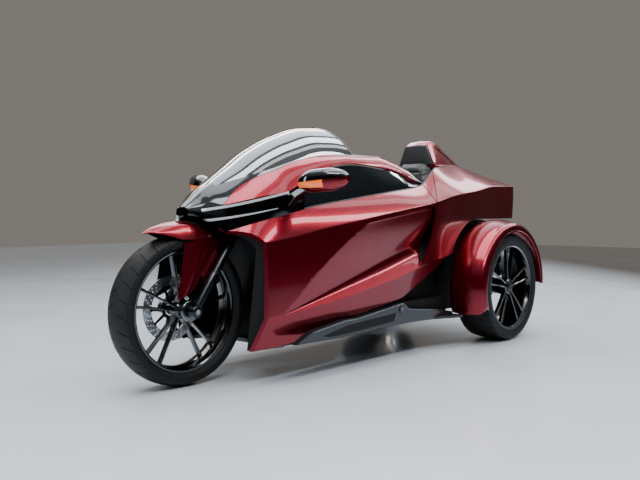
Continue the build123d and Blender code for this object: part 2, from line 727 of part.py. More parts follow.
def dash_ring(station):
    """Dash outline, a little crowned."""
    half, high, low = eased(DASH_SECTIONS, station)
    left = [(half - 10, low), (half, low + 14)]
    return left + [(0, high)] + opposite(left)


COLUMN_RADIUS = 12
COLUMN_FOOT = place(905, 0, 880)
COLUMN_LENGTH = 150
dash = body_loft(grid(DASH_SECTIONS, DASH_SECTIONS[0][0], DASH_SECTIONS[-1][0]), dash_ring)
column_top = COLUMN_FOOT + STEER_UP * COLUMN_LENGTH
dash = dash + rod(COLUMN_FOOT, COLUMN_FOOT + STEER_UP * 125, 30)
dash = dash + side_prism(
    [(TUB_FRONT, TUB_FRONT_Z), (TUB_FRONT, 965), (TUB_FRONT + TUB_WALL, 965),
     (TUB_FRONT + TUB_WALL, TUB_FRONT_Z)], -90, 90)
dash = dash - rod(COLUMN_FOOT - STEER_UP * 20, COLUMN_FOOT + STEER_UP * 200, COLUMN_RADIUS + RUNNING_GAP)
dash = dash - arch - mirrored(arch) - window - mirrored(window) - nose
parts["dash_panel"] = dash

bar_y = 120
grip_y = 235
grip_at = column_top + STEER_UP * 24 + Vector(-95, 0, -18)
handlebar = rod(COLUMN_FOOT, column_top + STEER_UP * 8, COLUMN_RADIUS)
clamp = Plane(origin=column_top + STEER_UP * 12, x_dir=Vector(0, 1, 0), z_dir=STEER_UP) * Box(90, 44, 24)
handlebar = handlebar + clamp
bar_start = column_top + STEER_UP * 14
for side in (-1, 1):
    bend = bar_start + Vector(0, side * bar_y, 22)
    grip_end = Vector(grip_at.X, side * grip_y, grip_at.Z)
    handlebar = handlebar + rod(bar_start, bend, 11) + Pos(*bend) * Sphere(11)
    handlebar = handlebar + rod(bend, grip_end, 11) + rod(bend + (grip_end - bend) * 0.2, grip_end, 16)
parts["handlebar"] = handlebar

# Rear fenders: a round arch over each tyre, low in front and level with the hub behind
lip = REAR_TYRE_RADIUS + 9
outer = FENDER_OUTER_Y
inner = FENDER_INNER_Y
crown = FENDER_CROWN_RADIUS
wall = FENDER_WALL
rear_fender = turned(
    [(inner, lip + 8), (inner + 29, crown - 15), (outer - 35, crown - 18), (outer, crown - 50),
     (outer - 4, lip), (outer - 4 - wall, lip), (outer - wall, crown - 51),
     (outer - 37, crown - 18 - wall), (inner + 31, crown - 15 - wall), (inner + wall, lip + 8)],
    {0: (inner + 7, crown - 37), 1: (inner + 119, crown), 2: (outer - 10, crown - 28),
     6: (outer - 15.5, crown - 31), 7: (inner + 119, crown - wall), 8: (inner + 12, crown - 39)},
    sweep=200, start=-90)
rear_fender = Pos(*REAR_AXLE) * rear_fender
# The foot's outer corner is rounded off, seen from the front
FOOT_ROUND = 62
foot_z = REAR_TYRE_RADIUS - crown * math.sin(math.radians(20))
foot_centre = (outer - FOOT_ROUND, foot_z + FOOT_ROUND)
foot_corner = Solid.extrude(Face(Wire.make_polygon([
    place(REAR - crown - 60, y, z) for y, z in (
        foot_centre, (outer + 5, foot_centre[1]), (outer + 5, foot_z - 40), (foot_centre[0], foot_z - 40))],
    close=True)), Vector(-260, 0, 0))
foot_corner = foot_corner - rod(
    place(REAR - crown - 70, *foot_centre), place(REAR, *foot_centre), FOOT_ROUND)
rear_fender = rear_fender - foot_corner
both_sides("rear_fender", rear_fender)

# Rear axle: tube with the drive housing in the middle, hub carriers and stub shafts
CARRIER_Y = 357
HUB_INNER_Y = REAR_WHEEL_Y - 40
axle = across(34, -CARRIER_Y, CARRIER_Y, REAR_AXLE) + across(88, -75, 75, REAR_AXLE)
for side in (-1, 1):
    carrier = sorted((side * CARRIER_Y, side * (HUB_INNER_Y - 5)))
    stub = sorted((side * CARRIER_Y, side * (REAR_WHEEL_Y + 100)))
    axle = axle + across(66, *carrier, REAR_AXLE) + across(REAR_AXLE_RADIUS, *stub, REAR_AXLE)
parts["rear_axle"] = axle

# Fender stays: a forked plate on each end of the axle tube
stay = across(60, 338, 350, REAR_AXLE)
for angle in (35, 100, 150):
    along = Vector(math.cos(math.radians(angle)), 0, math.sin(math.radians(angle)))
    across_bar = Vector(-along.Z, 0, along.X) * 16
    foot = REAR_AXLE + Vector(0, 338, 0)
    corners = [foot + across_bar, foot + along * 392 + across_bar,
               foot + along * 392 - across_bar, foot - across_bar]
    stay = stay + Solid.extrude(Face(Wire.make_polygon(corners, close=True)), Vector(0, 12, 0))
    tab = [foot + along * 372 + across_bar, foot + along * 392 + across_bar,
           foot + along * 392 - across_bar, foot + along * 372 - across_bar]
    stay = stay + Solid.extrude(Face(Wire.make_polygon(tab, close=True)), Vector(0, 33, 0))
stay = stay - rear_fender - across(34, 0, 700, REAR_AXLE)
both_sides("fender_stay", stay)

# Rear frame: two plates from the tub to the axle, and the tray that carries the engine
frame_front = TUB_REAR + FIT_GAP
tray_z = 468
plate_outline = [
    (frame_front, 215), (frame_front, tray_z), (REAR + 240, tray_z), (REAR + 225, tray_z - 30),
    (REAR + 60, REAR_TYRE_RADIUS - 60), (REAR - 60, REAR_TYRE_RADIUS - 75)]
plate = side_prism(plate_outline, 190, 202) - across(34, 0, 400, REAR_AXLE)
tray = side_prism(
    [(frame_front, tray_z - 12), (frame_front, tray_z), (REAR + 240, tray_z), (REAR + 240, tray_z - 12)],
    -202, 202)
parts["rear_frame"] = tray + plate + mirrored(plate)
parts["engine_block"] = side_prism(
    [(REAR - 170, tray_z), (REAR - 170, 880), (REAR + 215, 880), (REAR + 215, tray_z)], -180, 180)

# Tail panel with an undertray, and the tail lamps on it
TAIL_PANEL = TAIL - 34
PLATE_HOLE_RADIUS = 3.3
PLATE_HOLE_SPACING_Y = 100
PLATE_HOLE_SPACING_Z = 60
PLATE_HOLES_Z = 860
tail_ring = [(300, 782), (300, 960), (150, 990), (-150, 990), (-300, 960), (-300, 782)]
tail_panel = body_loft([TAIL_PANEL - 10, TAIL_PANEL], lambda s: tail_ring)
tail_panel = tail_panel + side_prism(
    [(REAR + 244, 780), (REAR + 244, 788), (TAIL_PANEL - 5, 788), (TAIL_PANEL - 5, 780)], -300, 300)
tail_panel = tail_panel - side_shell - mirrored(side_shell) - under_deck
for y in (-PLATE_HOLE_SPACING_Y / 2, PLATE_HOLE_SPACING_Y / 2):
    for z in (PLATE_HOLES_Z - PLATE_HOLE_SPACING_Z / 2, PLATE_HOLES_Z + PLATE_HOLE_SPACING_Z / 2):
        hole_start, hole_end = place(TAIL_PANEL - 50, y, z), place(TAIL_PANEL + 50, y, z)
        tail_panel = tail_panel - rod(hole_start, hole_end, PLATE_HOLE_RADIUS)
parts["tail_panel"] = tail_panel
tail_lamp = side_prism(
    [(TAIL_PANEL, 900), (TAIL_PANEL, 936), (TAIL_PANEL + 16, 932), (TAIL_PANEL + 16, 904)], 70, 240)
parts["tail_lamps"] = Compound(children=[tail_lamp, mirrored(tail_lamp)])

# Side rails, chassis frame and belly pan
# The rail's rear end widens into a foot in front of the fender
RAIL_FOOT_Y = 492
RAIL_FOOT_END = REAR - 425
rail_outline = [
    (372, 186), (490, 236), (734, 268), (836, 268), (REAR - 941, 312), (REAR - 885, 272), (REAR - 582, 240),
    (RAIL_FOOT_END, 212), (RAIL_FOOT_END, 184), (REAR - 645, 184), (REAR - 839, 192), (1013, 192), (716, 180)]
rail = side_prism(rail_outline, RAIL_INNER_Y, RAIL_OUTER_Y)
rail_foot = [
    (REAR - 640, RAIL_OUTER_Y - 10), (REAR - 640, RAIL_OUTER_Y), (RAIL_FOOT_END - 40, RAIL_FOOT_Y),
    (RAIL_FOOT_END, RAIL_FOOT_Y), (RAIL_FOOT_END, RAIL_OUTER_Y - 10)]
rail = rail + Solid.extrude(
    Face(Wire.make_polygon([place(s, y, 184) for s, y in rail_foot], close=True)), Vector(0, 0, 14))
rail = rail + across(20, RAIL_INNER_Y, RAIL_OUTER_Y + 7, place(REAR - 959, 0, 274))
both_sides("side_rail", rail)

BELLY_Z = 157
FRAME_LOW = 165
FRAME_HIGH = TUB_FLOOR_Z - FIT_GAP
frame_front_end = 415
box_rail = side_prism(
    [(frame_front_end, FRAME_LOW), (frame_front_end, FRAME_HIGH), (TUB_REAR, FRAME_HIGH),
     (TUB_REAR, FRAME_LOW)], 180, 222)
chassis = box_rail + mirrored(box_rail)
cross_members = [
    (frame_front_end + 40, 222), (850, RAIL_INNER_Y), (REAR - 935, RAIL_INNER_Y), (TUB_REAR - 60, 222)]
for station, reach in cross_members:
    chassis = chassis + side_prism(
        [(station - 25, FRAME_HIGH - 14), (station - 25, FRAME_HIGH), (station + 25, FRAME_HIGH),
         (station + 25, FRAME_HIGH - 14)], -reach, reach)
parts["chassis_frame"] = chassis
parts["belly_pan"] = side_prism(
    [(frame_front_end, BELLY_Z), (frame_front_end, FRAME_LOW), (TUB_REAR, FRAME_LOW), (TUB_REAR, BELLY_Z)],
    -268, 268)

# Front skid, wheel well liner and steering head
skid_plan = [(250, 262), (250, 240), (345, 205), (378, 150), (378, -150), (345, -205), (250, -240),
             (250, -262), (frame_front_end, -290), (frame_front_end, 290)]
skid = Solid.extrude(
    Face(Wire.make_polygon([place(s, y, BELLY_Z) for s, y in skid_plan], close=True)), Vector(0, 0, 20))
skid = skid - side_panel - mirrored(side_panel)
parts["front_skid"] = skid
liner = side_prism([(404, 177), (411, 177), (466, 700), (459, 700)], -300, 300)
liner = liner - side_panel - mirrored(side_panel) - skid
parts["wheel_well_liner"] = liner

head_low, head_high = LOWER_YOKE_UP + 14, UPPER_YOKE_UP - 14
head = rod(up_the_stem(head_low), up_the_stem(head_high), 32)
head = head + side_prism(
    [(345, 738), (398, 828), (441, 808), (TUB_FRONT - FIT_GAP, 808), (TUB_FRONT - FIT_GAP, 600), (560, 600)],
    -22, 22)
head = head - rod(up_the_stem(head_low - 50), up_the_stem(head_high + 50), STEM_RADIUS + RUNNING_GAP)
head = head - liner
parts["steering_head"] = head

# Mirrors on stalks, with a turn signal in the front of each pod
# y; station and z of the middle; half length and half height
POD_SECTIONS = [
    (352, 462, 962, 15, 13),
    (372, 470, 966, 40, 38),
    (430, 488, 973, 56, 57),
    (500, 512, 978, 54, 56),
    (560, 536, 982, 38, 40),
    (590, 548, 984, 14, 16),
]
POD_SIDES = 12


def pod():
    """Mirror housing through rings along Y."""
    wires = []
    for y, station, z, half_length, half_height in POD_SECTIONS:
        ring = []
        for k in range(POD_SIDES):
            angle = 2 * math.pi * k / POD_SIDES
            ring.append(place(
                station + half_length * math.cos(angle), y, z + half_height * math.sin(angle)))
        wires.append(Wire.make_polygon(ring, close=True))
    return Solid.make_loft(wires, ruled=True)


stalk_foot = [place(s, 294, z) for s, z in ((432, 846), (432, 900), (528, 925), (528, 860))]
stalk_head = [place(s, 402, z) for s, z in ((448, 926), (448, 948), (506, 954), (506, 932))]
stalk = Solid.make_loft(
    [Wire.make_polygon(stalk_foot, close=True), Wire.make_polygon(stalk_head, close=True)], ruled=True)
mirror_pod = pod() + stalk
signal_zone = side_prism([(400, 946), (400, 984), (462, 984), (462, 946)], 368, 486)
signal = mirror_pod & signal_zone
# The glass faces the rider: its plane turns a little inwards
GLASS_AT = place(548, 480, 0)
GLASS_FACING = Vector(-1, -0.165, 0)
GLASS_DEPTH = 4
mirror_zone = beyond(GLASS_AT + Vector(GLASS_DEPTH, 0, 0), GLASS_FACING) & side_prism(
    [(400, 936), (400, 1018), (700, 1018), (700, 936)], 424, 562)
mirror_pod = mirror_pod - beyond(GLASS_AT, GLASS_FACING)
mirror_glass = mirror_pod & mirror_zone
mirror_pod = mirror_pod - signal_zone - mirror_zone
mirror_pod = mirror_pod - nose - lamp - arch - window - side_panel
both_sides("mirror", mirror_pod)
parts["turn_signals"] = Compound(children=[signal, mirrored(signal)])
parts["mirror_glasses"] = Compound(children=[mirror_glass, mirrored(mirror_glass)])

os.makedirs("parts", exist_ok=True)
for name, shape in parts.items():
    export_step(shape, f"parts/{name}.step")
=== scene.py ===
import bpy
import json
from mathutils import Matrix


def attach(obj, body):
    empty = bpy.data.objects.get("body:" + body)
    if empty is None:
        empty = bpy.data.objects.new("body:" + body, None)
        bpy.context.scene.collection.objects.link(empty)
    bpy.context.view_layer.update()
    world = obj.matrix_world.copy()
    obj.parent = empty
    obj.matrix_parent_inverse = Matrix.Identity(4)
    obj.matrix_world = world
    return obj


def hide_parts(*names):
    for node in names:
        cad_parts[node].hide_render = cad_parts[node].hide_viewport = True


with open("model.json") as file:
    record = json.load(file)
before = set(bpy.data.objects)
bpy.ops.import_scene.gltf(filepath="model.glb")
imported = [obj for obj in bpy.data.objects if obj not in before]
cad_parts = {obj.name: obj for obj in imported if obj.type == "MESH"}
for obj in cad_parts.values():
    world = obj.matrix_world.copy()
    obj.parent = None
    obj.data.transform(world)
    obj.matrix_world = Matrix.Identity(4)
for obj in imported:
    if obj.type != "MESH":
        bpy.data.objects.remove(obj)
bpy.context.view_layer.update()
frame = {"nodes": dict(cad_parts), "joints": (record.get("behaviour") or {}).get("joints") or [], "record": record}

# %% [markdown]
# ## Places
# A car body is drawn by stations: a station is a distance behind the front axle, in millimetres. The axles
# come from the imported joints, so nothing here is typed twice.
# %% Axles and stations
import json
import math

import bmesh
import bpy
from mathutils import Matrix, Vector

MM = 0.001
joints = {joint["name"]: joint for joint in frame["joints"]}


def joint_place(name):
    """Place of a joint, in millimetres."""
    return Vector(joints[name]["pos_m"]) / MM


FRONT_AXLE = joint_place("front_wheel_spin")
REAR_AXLE = joint_place("rear_left_spin")
TAIL_OVERHANG = 565
REAR = FRONT_AXLE.x - REAR_AXLE.x
TAIL = REAR + TAIL_OVERHANG
SIDES = {"left": 1, "right": -1}


def place(station, y, z):
    """Point of the body, by its station, in metres."""
    return Vector((FRONT_AXLE.x - station, y, z)) * MM


print(f"wheelbase {REAR:.0f} mm, tail {TAIL:.0f} mm behind the front axle")

# %% [markdown]
# ## Mesh tools
# Three ways of making a shape do most of the work. A loft joins closed rings, as the ribs of a hull. A
# lathe turns an outline about a wheel's axis. A prism is a flat outline with a thickness, and serves as a
# cutter. Shading stays smooth across shallow angles and breaks at real creases.
# %% Make and shade meshes
CREASE_ANGLE = math.radians(24)


def linked(name, data):
    """New object with its data, in the scene."""
    obj = bpy.data.objects.new(name, data)
    bpy.context.scene.collection.objects.link(obj)
    return obj


def shade(obj, angle=CREASE_ANGLE):
    """Smooth shading with sharp edges where faces meet at more than the angle."""
    obj.data.polygons.foreach_set("use_smooth", [True] * len(obj.data.polygons))
    obj.data.set_sharp_from_angle(angle=angle)
    return obj


def solid(name, vertices, faces, angle=CREASE_ANGLE):
    """Mesh object from points in metres, with its faces turned outwards."""
    mesh = bpy.data.meshes.new(name)
    mesh.from_pydata([tuple(v) for v in vertices], [], faces)
    mesh.validate()
    work = bmesh.new()
    work.from_mesh(mesh)
    bmesh.ops.remove_doubles(work, verts=work.verts, dist=1e-6)
    bmesh.ops.recalc_face_normals(work, faces=work.faces)
    work.to_mesh(mesh)
    work.free()
    return shade(linked(name, mesh), angle)


def loft(name, rings, caps=True, around=True):
    """Skin through rings of equal length; each ring is a list of points in metres."""
    count = len(rings[0])
    vertices = [point for ring in rings for point in ring]
    steps = count if around else count - 1
    faces = []
    for r in range(len(rings) - 1):
        for k in range(steps):
            a, b = r * count + k, r * count + (k + 1) % count
            faces.append((a, b, b + count, a + count))
    if caps:
        last = (len(rings) - 1) * count
        faces.append(tuple(range(count)))
        faces.append(tuple(last + k for k in reversed(range(count))))
    return solid(name, vertices, faces)


# %% Prisms and turned shapes
def prism(name, outline, y_low, y_high):
    """Solid with an outline in (station, z), between two values of y."""
    return loft(name, [[place(s, y, z) for s, z in outline] for y in (y_low, y_high)])


def across(y):
    """Step along an axle."""
    return Vector((0, y, 0))


def about(centre, angle, y, r):
    """Place at a radius from an axle, in metres; the angle runs from the top towards the front."""
    return (centre + Vector((r * math.sin(angle), y, r * math.cos(angle)))) * MM


def swept(name, centre, sections):
    """Closed sections of (y, radius), at angles in degrees, joined round an axle."""
    return loft(name, [[about(centre, math.radians(degrees), y, r) for y, r in outline]
                       for degrees, outline in sections])


def lathe(name, outline, centre, columns=128):
    """Closed outline of (y, radius) turned about an axle."""
    turns = [math.radians(360 * c / columns) for c in range(columns)]
    rings = [[about(centre, angle, y, r) for y, r in outline] for angle in turns]
    return loft(name, rings + rings[:1], caps=False)


def turned_bar(name, foot, direction, rows, columns=40):
    """Bar turned about a line; rows hold the distance from its foot and the radius."""
    turn = direction.to_track_quat("Z", "Y")
    angles = [2 * math.pi * k / columns for k in range(columns)]
    return loft(name, [
        [(foot + turn @ Vector((radius * math.cos(a), radius * math.sin(a), along))) * MM for a in angles]
        for along, radius in rows])


def bar(name, start, end, radius, columns=24):
    """Round bar between two places in millimetres."""
    axis = end - start
    return turned_bar(name, start, axis, [(0, radius), (axis.length, radius)], columns)


# %% Cut, copy and join meshes
def bake(obj):
    """Applies every modifier to the mesh."""
    graph = bpy.context.evaluated_depsgraph_get()
    mesh = bpy.data.meshes.new_from_object(obj.evaluated_get(graph))
    obj.modifiers.clear()
    obj.data = mesh
    return obj


def cut(obj, *cutters, operation="DIFFERENCE", keep=False):
    """Booleans with other objects, one after another; they are used up unless keep is set."""
    for cutter in cutters:
        modifier = obj.modifiers.new("cut", "BOOLEAN")
        modifier.solver = "EXACT"
        modifier.operation = operation
        modifier.object = cutter
        shade(bake(obj))
        if not keep:
            bpy.data.objects.remove(cutter)
    return obj


def common(obj, cutter, keep=False):
    """What an object has in common with another."""
    return cut(obj, cutter, operation="INTERSECT", keep=keep)


def beyond(point, normal):
    """Cutter that fills everything past a plane, on the side of its normal."""
    reach = 4000
    half = reach / 2
    rings = [[Vector((x, y, z)) * MM for x, y in ((-half, -half), (half, -half), (half, half), (-half, half))]
             for z in (0, reach)]
    obj = loft("plane", rings)
    turn = Vector(normal).to_track_quat("Z", "Y").to_matrix().to_4x4()
    obj.data.transform(Matrix.Translation(point) @ turn)
    return obj


def mirrored(obj, name):
    """Copy of an object on the other side of the vehicle."""
    mesh = obj.data.copy()
    mesh.transform(Matrix.Scale(-1, 4, (0, 1, 0)))
    mesh.flip_normals()
    return linked(name, mesh)


def twin(obj):
    """Second copy of an object, to be cut in another way."""
    return linked(obj.name, obj.data.copy())


def joined(name, objects):
    """One object from several."""
    work = bmesh.new()
    for obj in objects:
        work.from_mesh(obj.data)
    mesh = bpy.data.meshes.new(name)
    work.to_mesh(mesh)
    work.free()
    for obj in objects:
        bpy.data.objects.remove(obj)
    return shade(linked(name, mesh))


# %% Round and dress pieces
def rounded(obj, width, angle=30):
    """Rounds the edges that are sharper than an angle, and evens the shading of the flat faces."""
    bevel = obj.modifiers.new("rounded edges", "BEVEL")
    bevel.width = width * MM
    bevel.segments = 2
    bevel.limit_method = "ANGLE"
    bevel.angle_limit = math.radians(angle)
    bevel.harden_normals = True
    return obj


def dress(obj, body, material, replaces=()):
    """Puts a piece on its body and finish."""
    if not obj.data.materials:
        obj.data.materials.append(material)
    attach(obj, body)
    if replaces:
        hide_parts(*replaces)
    print(f"{obj.name} on {body}: {len(obj.data.polygons)} faces, {material.name}")


# %% [markdown]
# ## Finishes
# Every finish is one physically based shader. Its colour is given as on a screen and turned to linear
# light. Patterns are sized in millimetres and read object coordinates, so they keep their scale on any
# piece.
# %% Colour and node helpers
OBJECT_UNITS = 1 / MM
NOISE, VORONOI, WAVE = "ShaderNodeTexNoise", "ShaderNodeTexVoronoi", "ShaderNodeTexWave"


def linear(code):
    """Linear colour of an sRGB hex code."""
    values = [int(code[k:k + 2], 16) / 255 for k in (1, 3, 5)]
    return [v / 12.92 if v <= 0.04045 else ((v + 0.055) / 1.055) ** 2.4 for v in values] + [1.0]


def add(tree, kind, settings=None, **inputs):
    """Adds a node; settings are its options, and an input is a value or another node's output."""
    made = tree.nodes.new(kind)
    for key, value in (settings or {}).items():
        setattr(made, key, value)
    for key, value in inputs.items():
        numbered = key[0] == "n" and key[1:].isdigit()
        slot = made.inputs[int(key[1:]) if numbered else key.replace("_", " ")]
        if isinstance(value, bpy.types.NodeSocket):
            tree.links.new(value, slot)
        else:
            slot.default_value = value
    return made


def finish(name, colour, roughness, metallic=0.0, ior=1.5, **sockets):
    """New material with its uniform values on the shader's own sockets."""
    material = bpy.data.materials.new(name)
    material.use_nodes = True
    shader = material.node_tree.nodes["Principled BSDF"]
    shader.inputs["Base Color"].default_value = linear(colour)
    shader.inputs["Roughness"].default_value = roughness
    shader.inputs["Metallic"].default_value = metallic
    if metallic < 1:
        shader.inputs["IOR"].default_value = ior
    for key, value in sockets.items():
        shader.inputs[key.replace("_", " ")].default_value = value
    return material


def textured(material, kind, size, colours=None, roughness=None, bump=None, **inputs):
    """Lays a texture over a finish, in object space; its features are about as large as size, in mm.
    It blends two colours, moves the roughness between two values, or raises a bump (mm, strength)."""
    tree = material.node_tree
    shader = tree.nodes["Principled BSDF"].inputs
    where = add(tree, "ShaderNodeTexCoord").outputs["Object"]
    texture = add(tree, kind, Vector=where, Scale=OBJECT_UNITS / size, **inputs).outputs
    cells = kind == VORONOI
    height = texture["Distance" if cells else "Fac"]
    if colours:
        ramp = add(tree, "ShaderNodeValToRGB", Fac=texture["Color" if cells else "Fac"])
        for element, colour in zip(ramp.color_ramp.elements, colours):
            element.color = linear(colour)
        tree.links.new(ramp.outputs["Color"], shader["Base Color"])
    if roughness:
        spread = add(tree, "ShaderNodeMapRange", Value=height, To_Min=roughness[0], To_Max=roughness[1])
        tree.links.new(spread.outputs[0], shader["Roughness"])
    if bump:
        raised = add(tree, "ShaderNodeBump", Height=height, Distance=bump[0] * MM, Strength=bump[1])
        tree.links.new(raised.outputs["Normal"], shader["Normal"])


# %% [markdown]
# ### Candy red over metal flake
# The body is moulded in fibre-reinforced plastic and sprayed with a transparent red over silver flake, then
# with clear lacquer. Flakes are about 0.1 mm. They are drawn ten times as coarse, or they would vanish. The
# lacquer is a glossy coat over a rougher metal-like base, so highlights have a sharp core and a red bloom
# round it.
# %% Candy red
FLAKE = 1.1
candy_red = finish(
    "candy_red_lacquer", "#700218", 0.24, metallic=0.86, Coat_Weight=0.5, Coat_Roughness=0.015, Coat_IOR=1.5)
textured(candy_red, VORONOI, FLAKE, ("#620113", "#880520"), (0.2, 0.28))

# %% [markdown]
# ### Black mouldings
# The nose and the mirror housings are high-gloss injection-moulded ABS, the tub and the liners the same
# plastic with a fine leather-like tool grain, which spreads their highlight.
# %% Black plastics
gloss_black = finish("gloss_moulded_abs", "#030304", 0.06, ior=1.5, Coat_Weight=0.6, Coat_Roughness=0.02)
textured(gloss_black, NOISE, 60, roughness=(0.05, 0.12), Detail=2.0)

GRAIN = 1.6
matte_black = finish("grained_moulded_abs", "#030303", 0.5, ior=1.5, Specular_IOR_Level=0.3)
textured(matte_black, VORONOI, GRAIN, roughness=(0.45, 0.65), bump=(0.12, 0.6))

# %% [markdown]
# ### Tinted windscreen
# The windscreen and the side windows are thermoformed polycarbonate with a dark tint and a hard coat.
# Little light comes through, and the coat mirrors the lights, which is what makes the bubble read.
# %% Tinted polycarbonate
tinted_glass = finish(
    "tinted_polycarbonate", "#2A3035", 0.03, ior=1.58, Transmission_Weight=0.7, Coat_Weight=1.0,
    Coat_Roughness=0.01, Coat_IOR=1.9)
textured(tinted_glass, NOISE, 240, roughness=(0.015, 0.05), Detail=1.0)

# %% [markdown]
# ### Rubber
# Tyre rubber is carbon-black filled and matte, a little paler where it has been touched. The seals are
# softer and smoother.
# %% Tyre and seal rubber
tyre_rubber = finish("vulcanised_tyre_rubber", "#040507", 0.6, ior=1.5, Specular_IOR_Level=0.3)
textured(tyre_rubber, NOISE, 35, ("#020304", "#07080A"), (0.5, 0.72), Detail=6.0, Roughness=0.65)
textured(tyre_rubber, NOISE, 1.5, bump=(0.15, 0.5), Detail=3.0)

seal_rubber = finish("extruded_seal_rubber", "#0B0B0C", 0.42, ior=1.52)
textured(seal_rubber, NOISE, 3, bump=(0.05, 0.4), Detail=2.0)

# %% [markdown]
# ### Metals
# The wheels are cast aluminium under gloss black powder, with machined lips. The disc is ground stainless
# steel, whose fine rings catch the light. The fork is hard-anodised aluminium, and the frame is powder-
# coated steel.
# %% Wheel, disc, fork and frame metals
ORANGE_PEEL = 7.0
wheel_black = finish(
    "black_powder_coated_aluminium", "#020203", 0.16, ior=1.5, Coat_Weight=0.8, Coat_Roughness=0.06)
textured(wheel_black, NOISE, ORANGE_PEEL, roughness=(0.12, 0.2), bump=(0.05, 0.5), Detail=2.0)

machined_lip = finish("machined_aluminium", "#7A7E83", 0.3, metallic=1.0)
textured(machined_lip, NOISE, 4, roughness=(0.16, 0.34), Detail=4.0)

disc_steel = finish("ground_stainless_steel", "#A9ACAF", 0.28, metallic=1.0, Anisotropic=0.5)
textured(disc_steel, NOISE, 2.2, roughness=(0.2, 0.42), Detail=5.0)

fork_metal = finish("hard_anodised_aluminium", "#3B3E42", 0.26, metallic=1.0)
textured(fork_metal, NOISE, 5, roughness=(0.18, 0.34), Detail=3.0)

frame_steel = finish("satin_powder_coated_steel", "#0B0C0D", 0.4, metallic=0.1, Coat_Weight=0.2)
textured(frame_steel, NOISE, ORANGE_PEEL, bump=(0.08, 0.5), Detail=2.0)

rail_graphite = finish(
    "graphite_metallic_lacquer", "#2C2F34", 0.34, metallic=0.7, Coat_Weight=0.7, Coat_Roughness=0.08)
textured(rail_graphite, VORONOI, FLAKE, ("#24272B", "#383B40"), (0.28, 0.42))

cast_alloy = finish("sand_cast_aluminium", "#6A6D70", 0.5, metallic=0.9)
textured(cast_alloy, NOISE, 2.5, bump=(0.25, 0.7), Detail=5.0)

mirror_silver = finish("silvered_glass", "#D5D9DC", 0.02, metallic=1.0)
textured(mirror_silver, NOISE, 40, roughness=(0.01, 0.05), Detail=2.0)

# %% [markdown]
# ### Leather
# The seat is upholstered in black automotive leather: a fine pebbled grain, satin, with thread of the same
# black.
# %% Leather and thread
PEBBLE = 2.2
seat_leather = finish("pebbled_black_leather", "#070708", 0.46, ior=1.5, Sheen_Weight=0.08)
textured(seat_leather, VORONOI, PEBBLE, roughness=(0.34, 0.52), bump=(0.25, 0.7))

# %% [markdown]
# ### Lamps
# The front lamps are white light guides behind clear polycarbonate. They are on in the photo, so they glow
# a little. The turn signals are amber and the tail lamps red, moulded with fine prisms.
# %% Lenses
PRISM = 6.0
lamp_lens = finish(
    "lit_light_guide", "#D5DADF", 0.1, metallic=0.5, ior=1.58, Emission_Color=linear("#F4F8FF"),
    Emission_Strength=0.12, Coat_Weight=1.0, Coat_Roughness=0.02)
textured(lamp_lens, WAVE, PRISM, bump=(0.2, 0.3))


def acrylic(name, colour, clear, glow, strength):
    """Moulded lens with fine prisms inside, lit from behind."""
    lens = finish(name, colour, 0.12, ior=1.49, Transmission_Weight=clear, Emission_Color=linear(glow),
                  Emission_Strength=strength, Coat_Weight=1.0, Coat_Roughness=0.03)
    textured(lens, VORONOI, PRISM, bump=(0.6, 0.6))
    return lens


amber_lens = acrylic("amber_acrylic", "#C8480A", 0.25, "#FF8A1C", 0.6)
red_lens = acrylic("red_acrylic", "#8E0A0C", 0.2, "#FF1A14", 0.12)

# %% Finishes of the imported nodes
by_slot = {
    "red_paint": candy_red, "gloss_black": gloss_black, "matte_black": matte_black,
    "wheel_black": wheel_black, "tyre_rubber": tyre_rubber, "tinted_glass": tinted_glass,
    "lamp_lens": lamp_lens, "red_lens": red_lens, "amber_lens": amber_lens, "disc_steel": disc_steel,
    "fork_metal": fork_metal, "rail_graphite": rail_graphite, "frame_steel": frame_steel,
    "engine_alloy": cast_alloy, "seat_leather": seat_leather, "mirror_silver": mirror_silver,
}
for part in frame["record"]["subparts"]:
    node = frame["nodes"][part["node"]]
    node.data.materials.clear()
    node.data.materials.append(by_slot[part["material_slot"]])
    shade(node)
print("finishes:", len(by_slot))

# %% [markdown]
# ## Surfaces of the body
# A body designer fixes a few cross-sections and lets the surface flow between them. The two tables hold
# those sections: a row is a station, and its other numbers are the corners of the section. Between rows
# every number follows a curve that never overshoots, so each crease runs as one clean line from nose to
# tail.
# %% Section tables
# station; y and z of the top edge, shoulder crease, lower crease and sill; y of the inner sill;
# y and z of the inner shoulder and of the inner top
SIDE_SECTIONS = [
    (120, 190, 728, 318, 658, 318, 300, 268, 158, 232, 275, 612, 172, 700),
    (270, 266, 775, 340, 679, 345, 322, 300, 166, 258, 285, 655, 250, 748),
    (430, 296, 810, 358, 701, 362, 343, 320, 178, 285, 292, 690, 280, 786),
    (600, 306, 846, 377, 735, 384, 372, 342, 222, 300, 300, 720, 300, 828),
    (900, 320, 889, 400, 780, 410, 421, 370, 278, 300, 300, 760, 300, 868),
    (REAR - 935, 328, 935, 413, 832, 423, 480, 390, 335, 300, 300, 800, 300, 912),
    (REAR - 625, 306, 977, 402, 874, 418, 532, 385, 410, 300, 300, 838, 292, 950),
    (REAR - 335, 232, 1103, 374, 925, 385, 575, 350, 500, 310, 335, 900, 222, 1076),
    (REAR - 35, 158, 1138, 348, 958, 352, 620, 330, 560, 300, 318, 930, 158, 1112),
    (REAR + 265, 155, 1101, 320, 999, 325, 690, 310, 640, 285, 290, 968, 155, 1076),
    (TAIL, 150, 1054, 300, 1006, 306, 760, 295, 740, 270, 272, 978, 150, 1028),
]
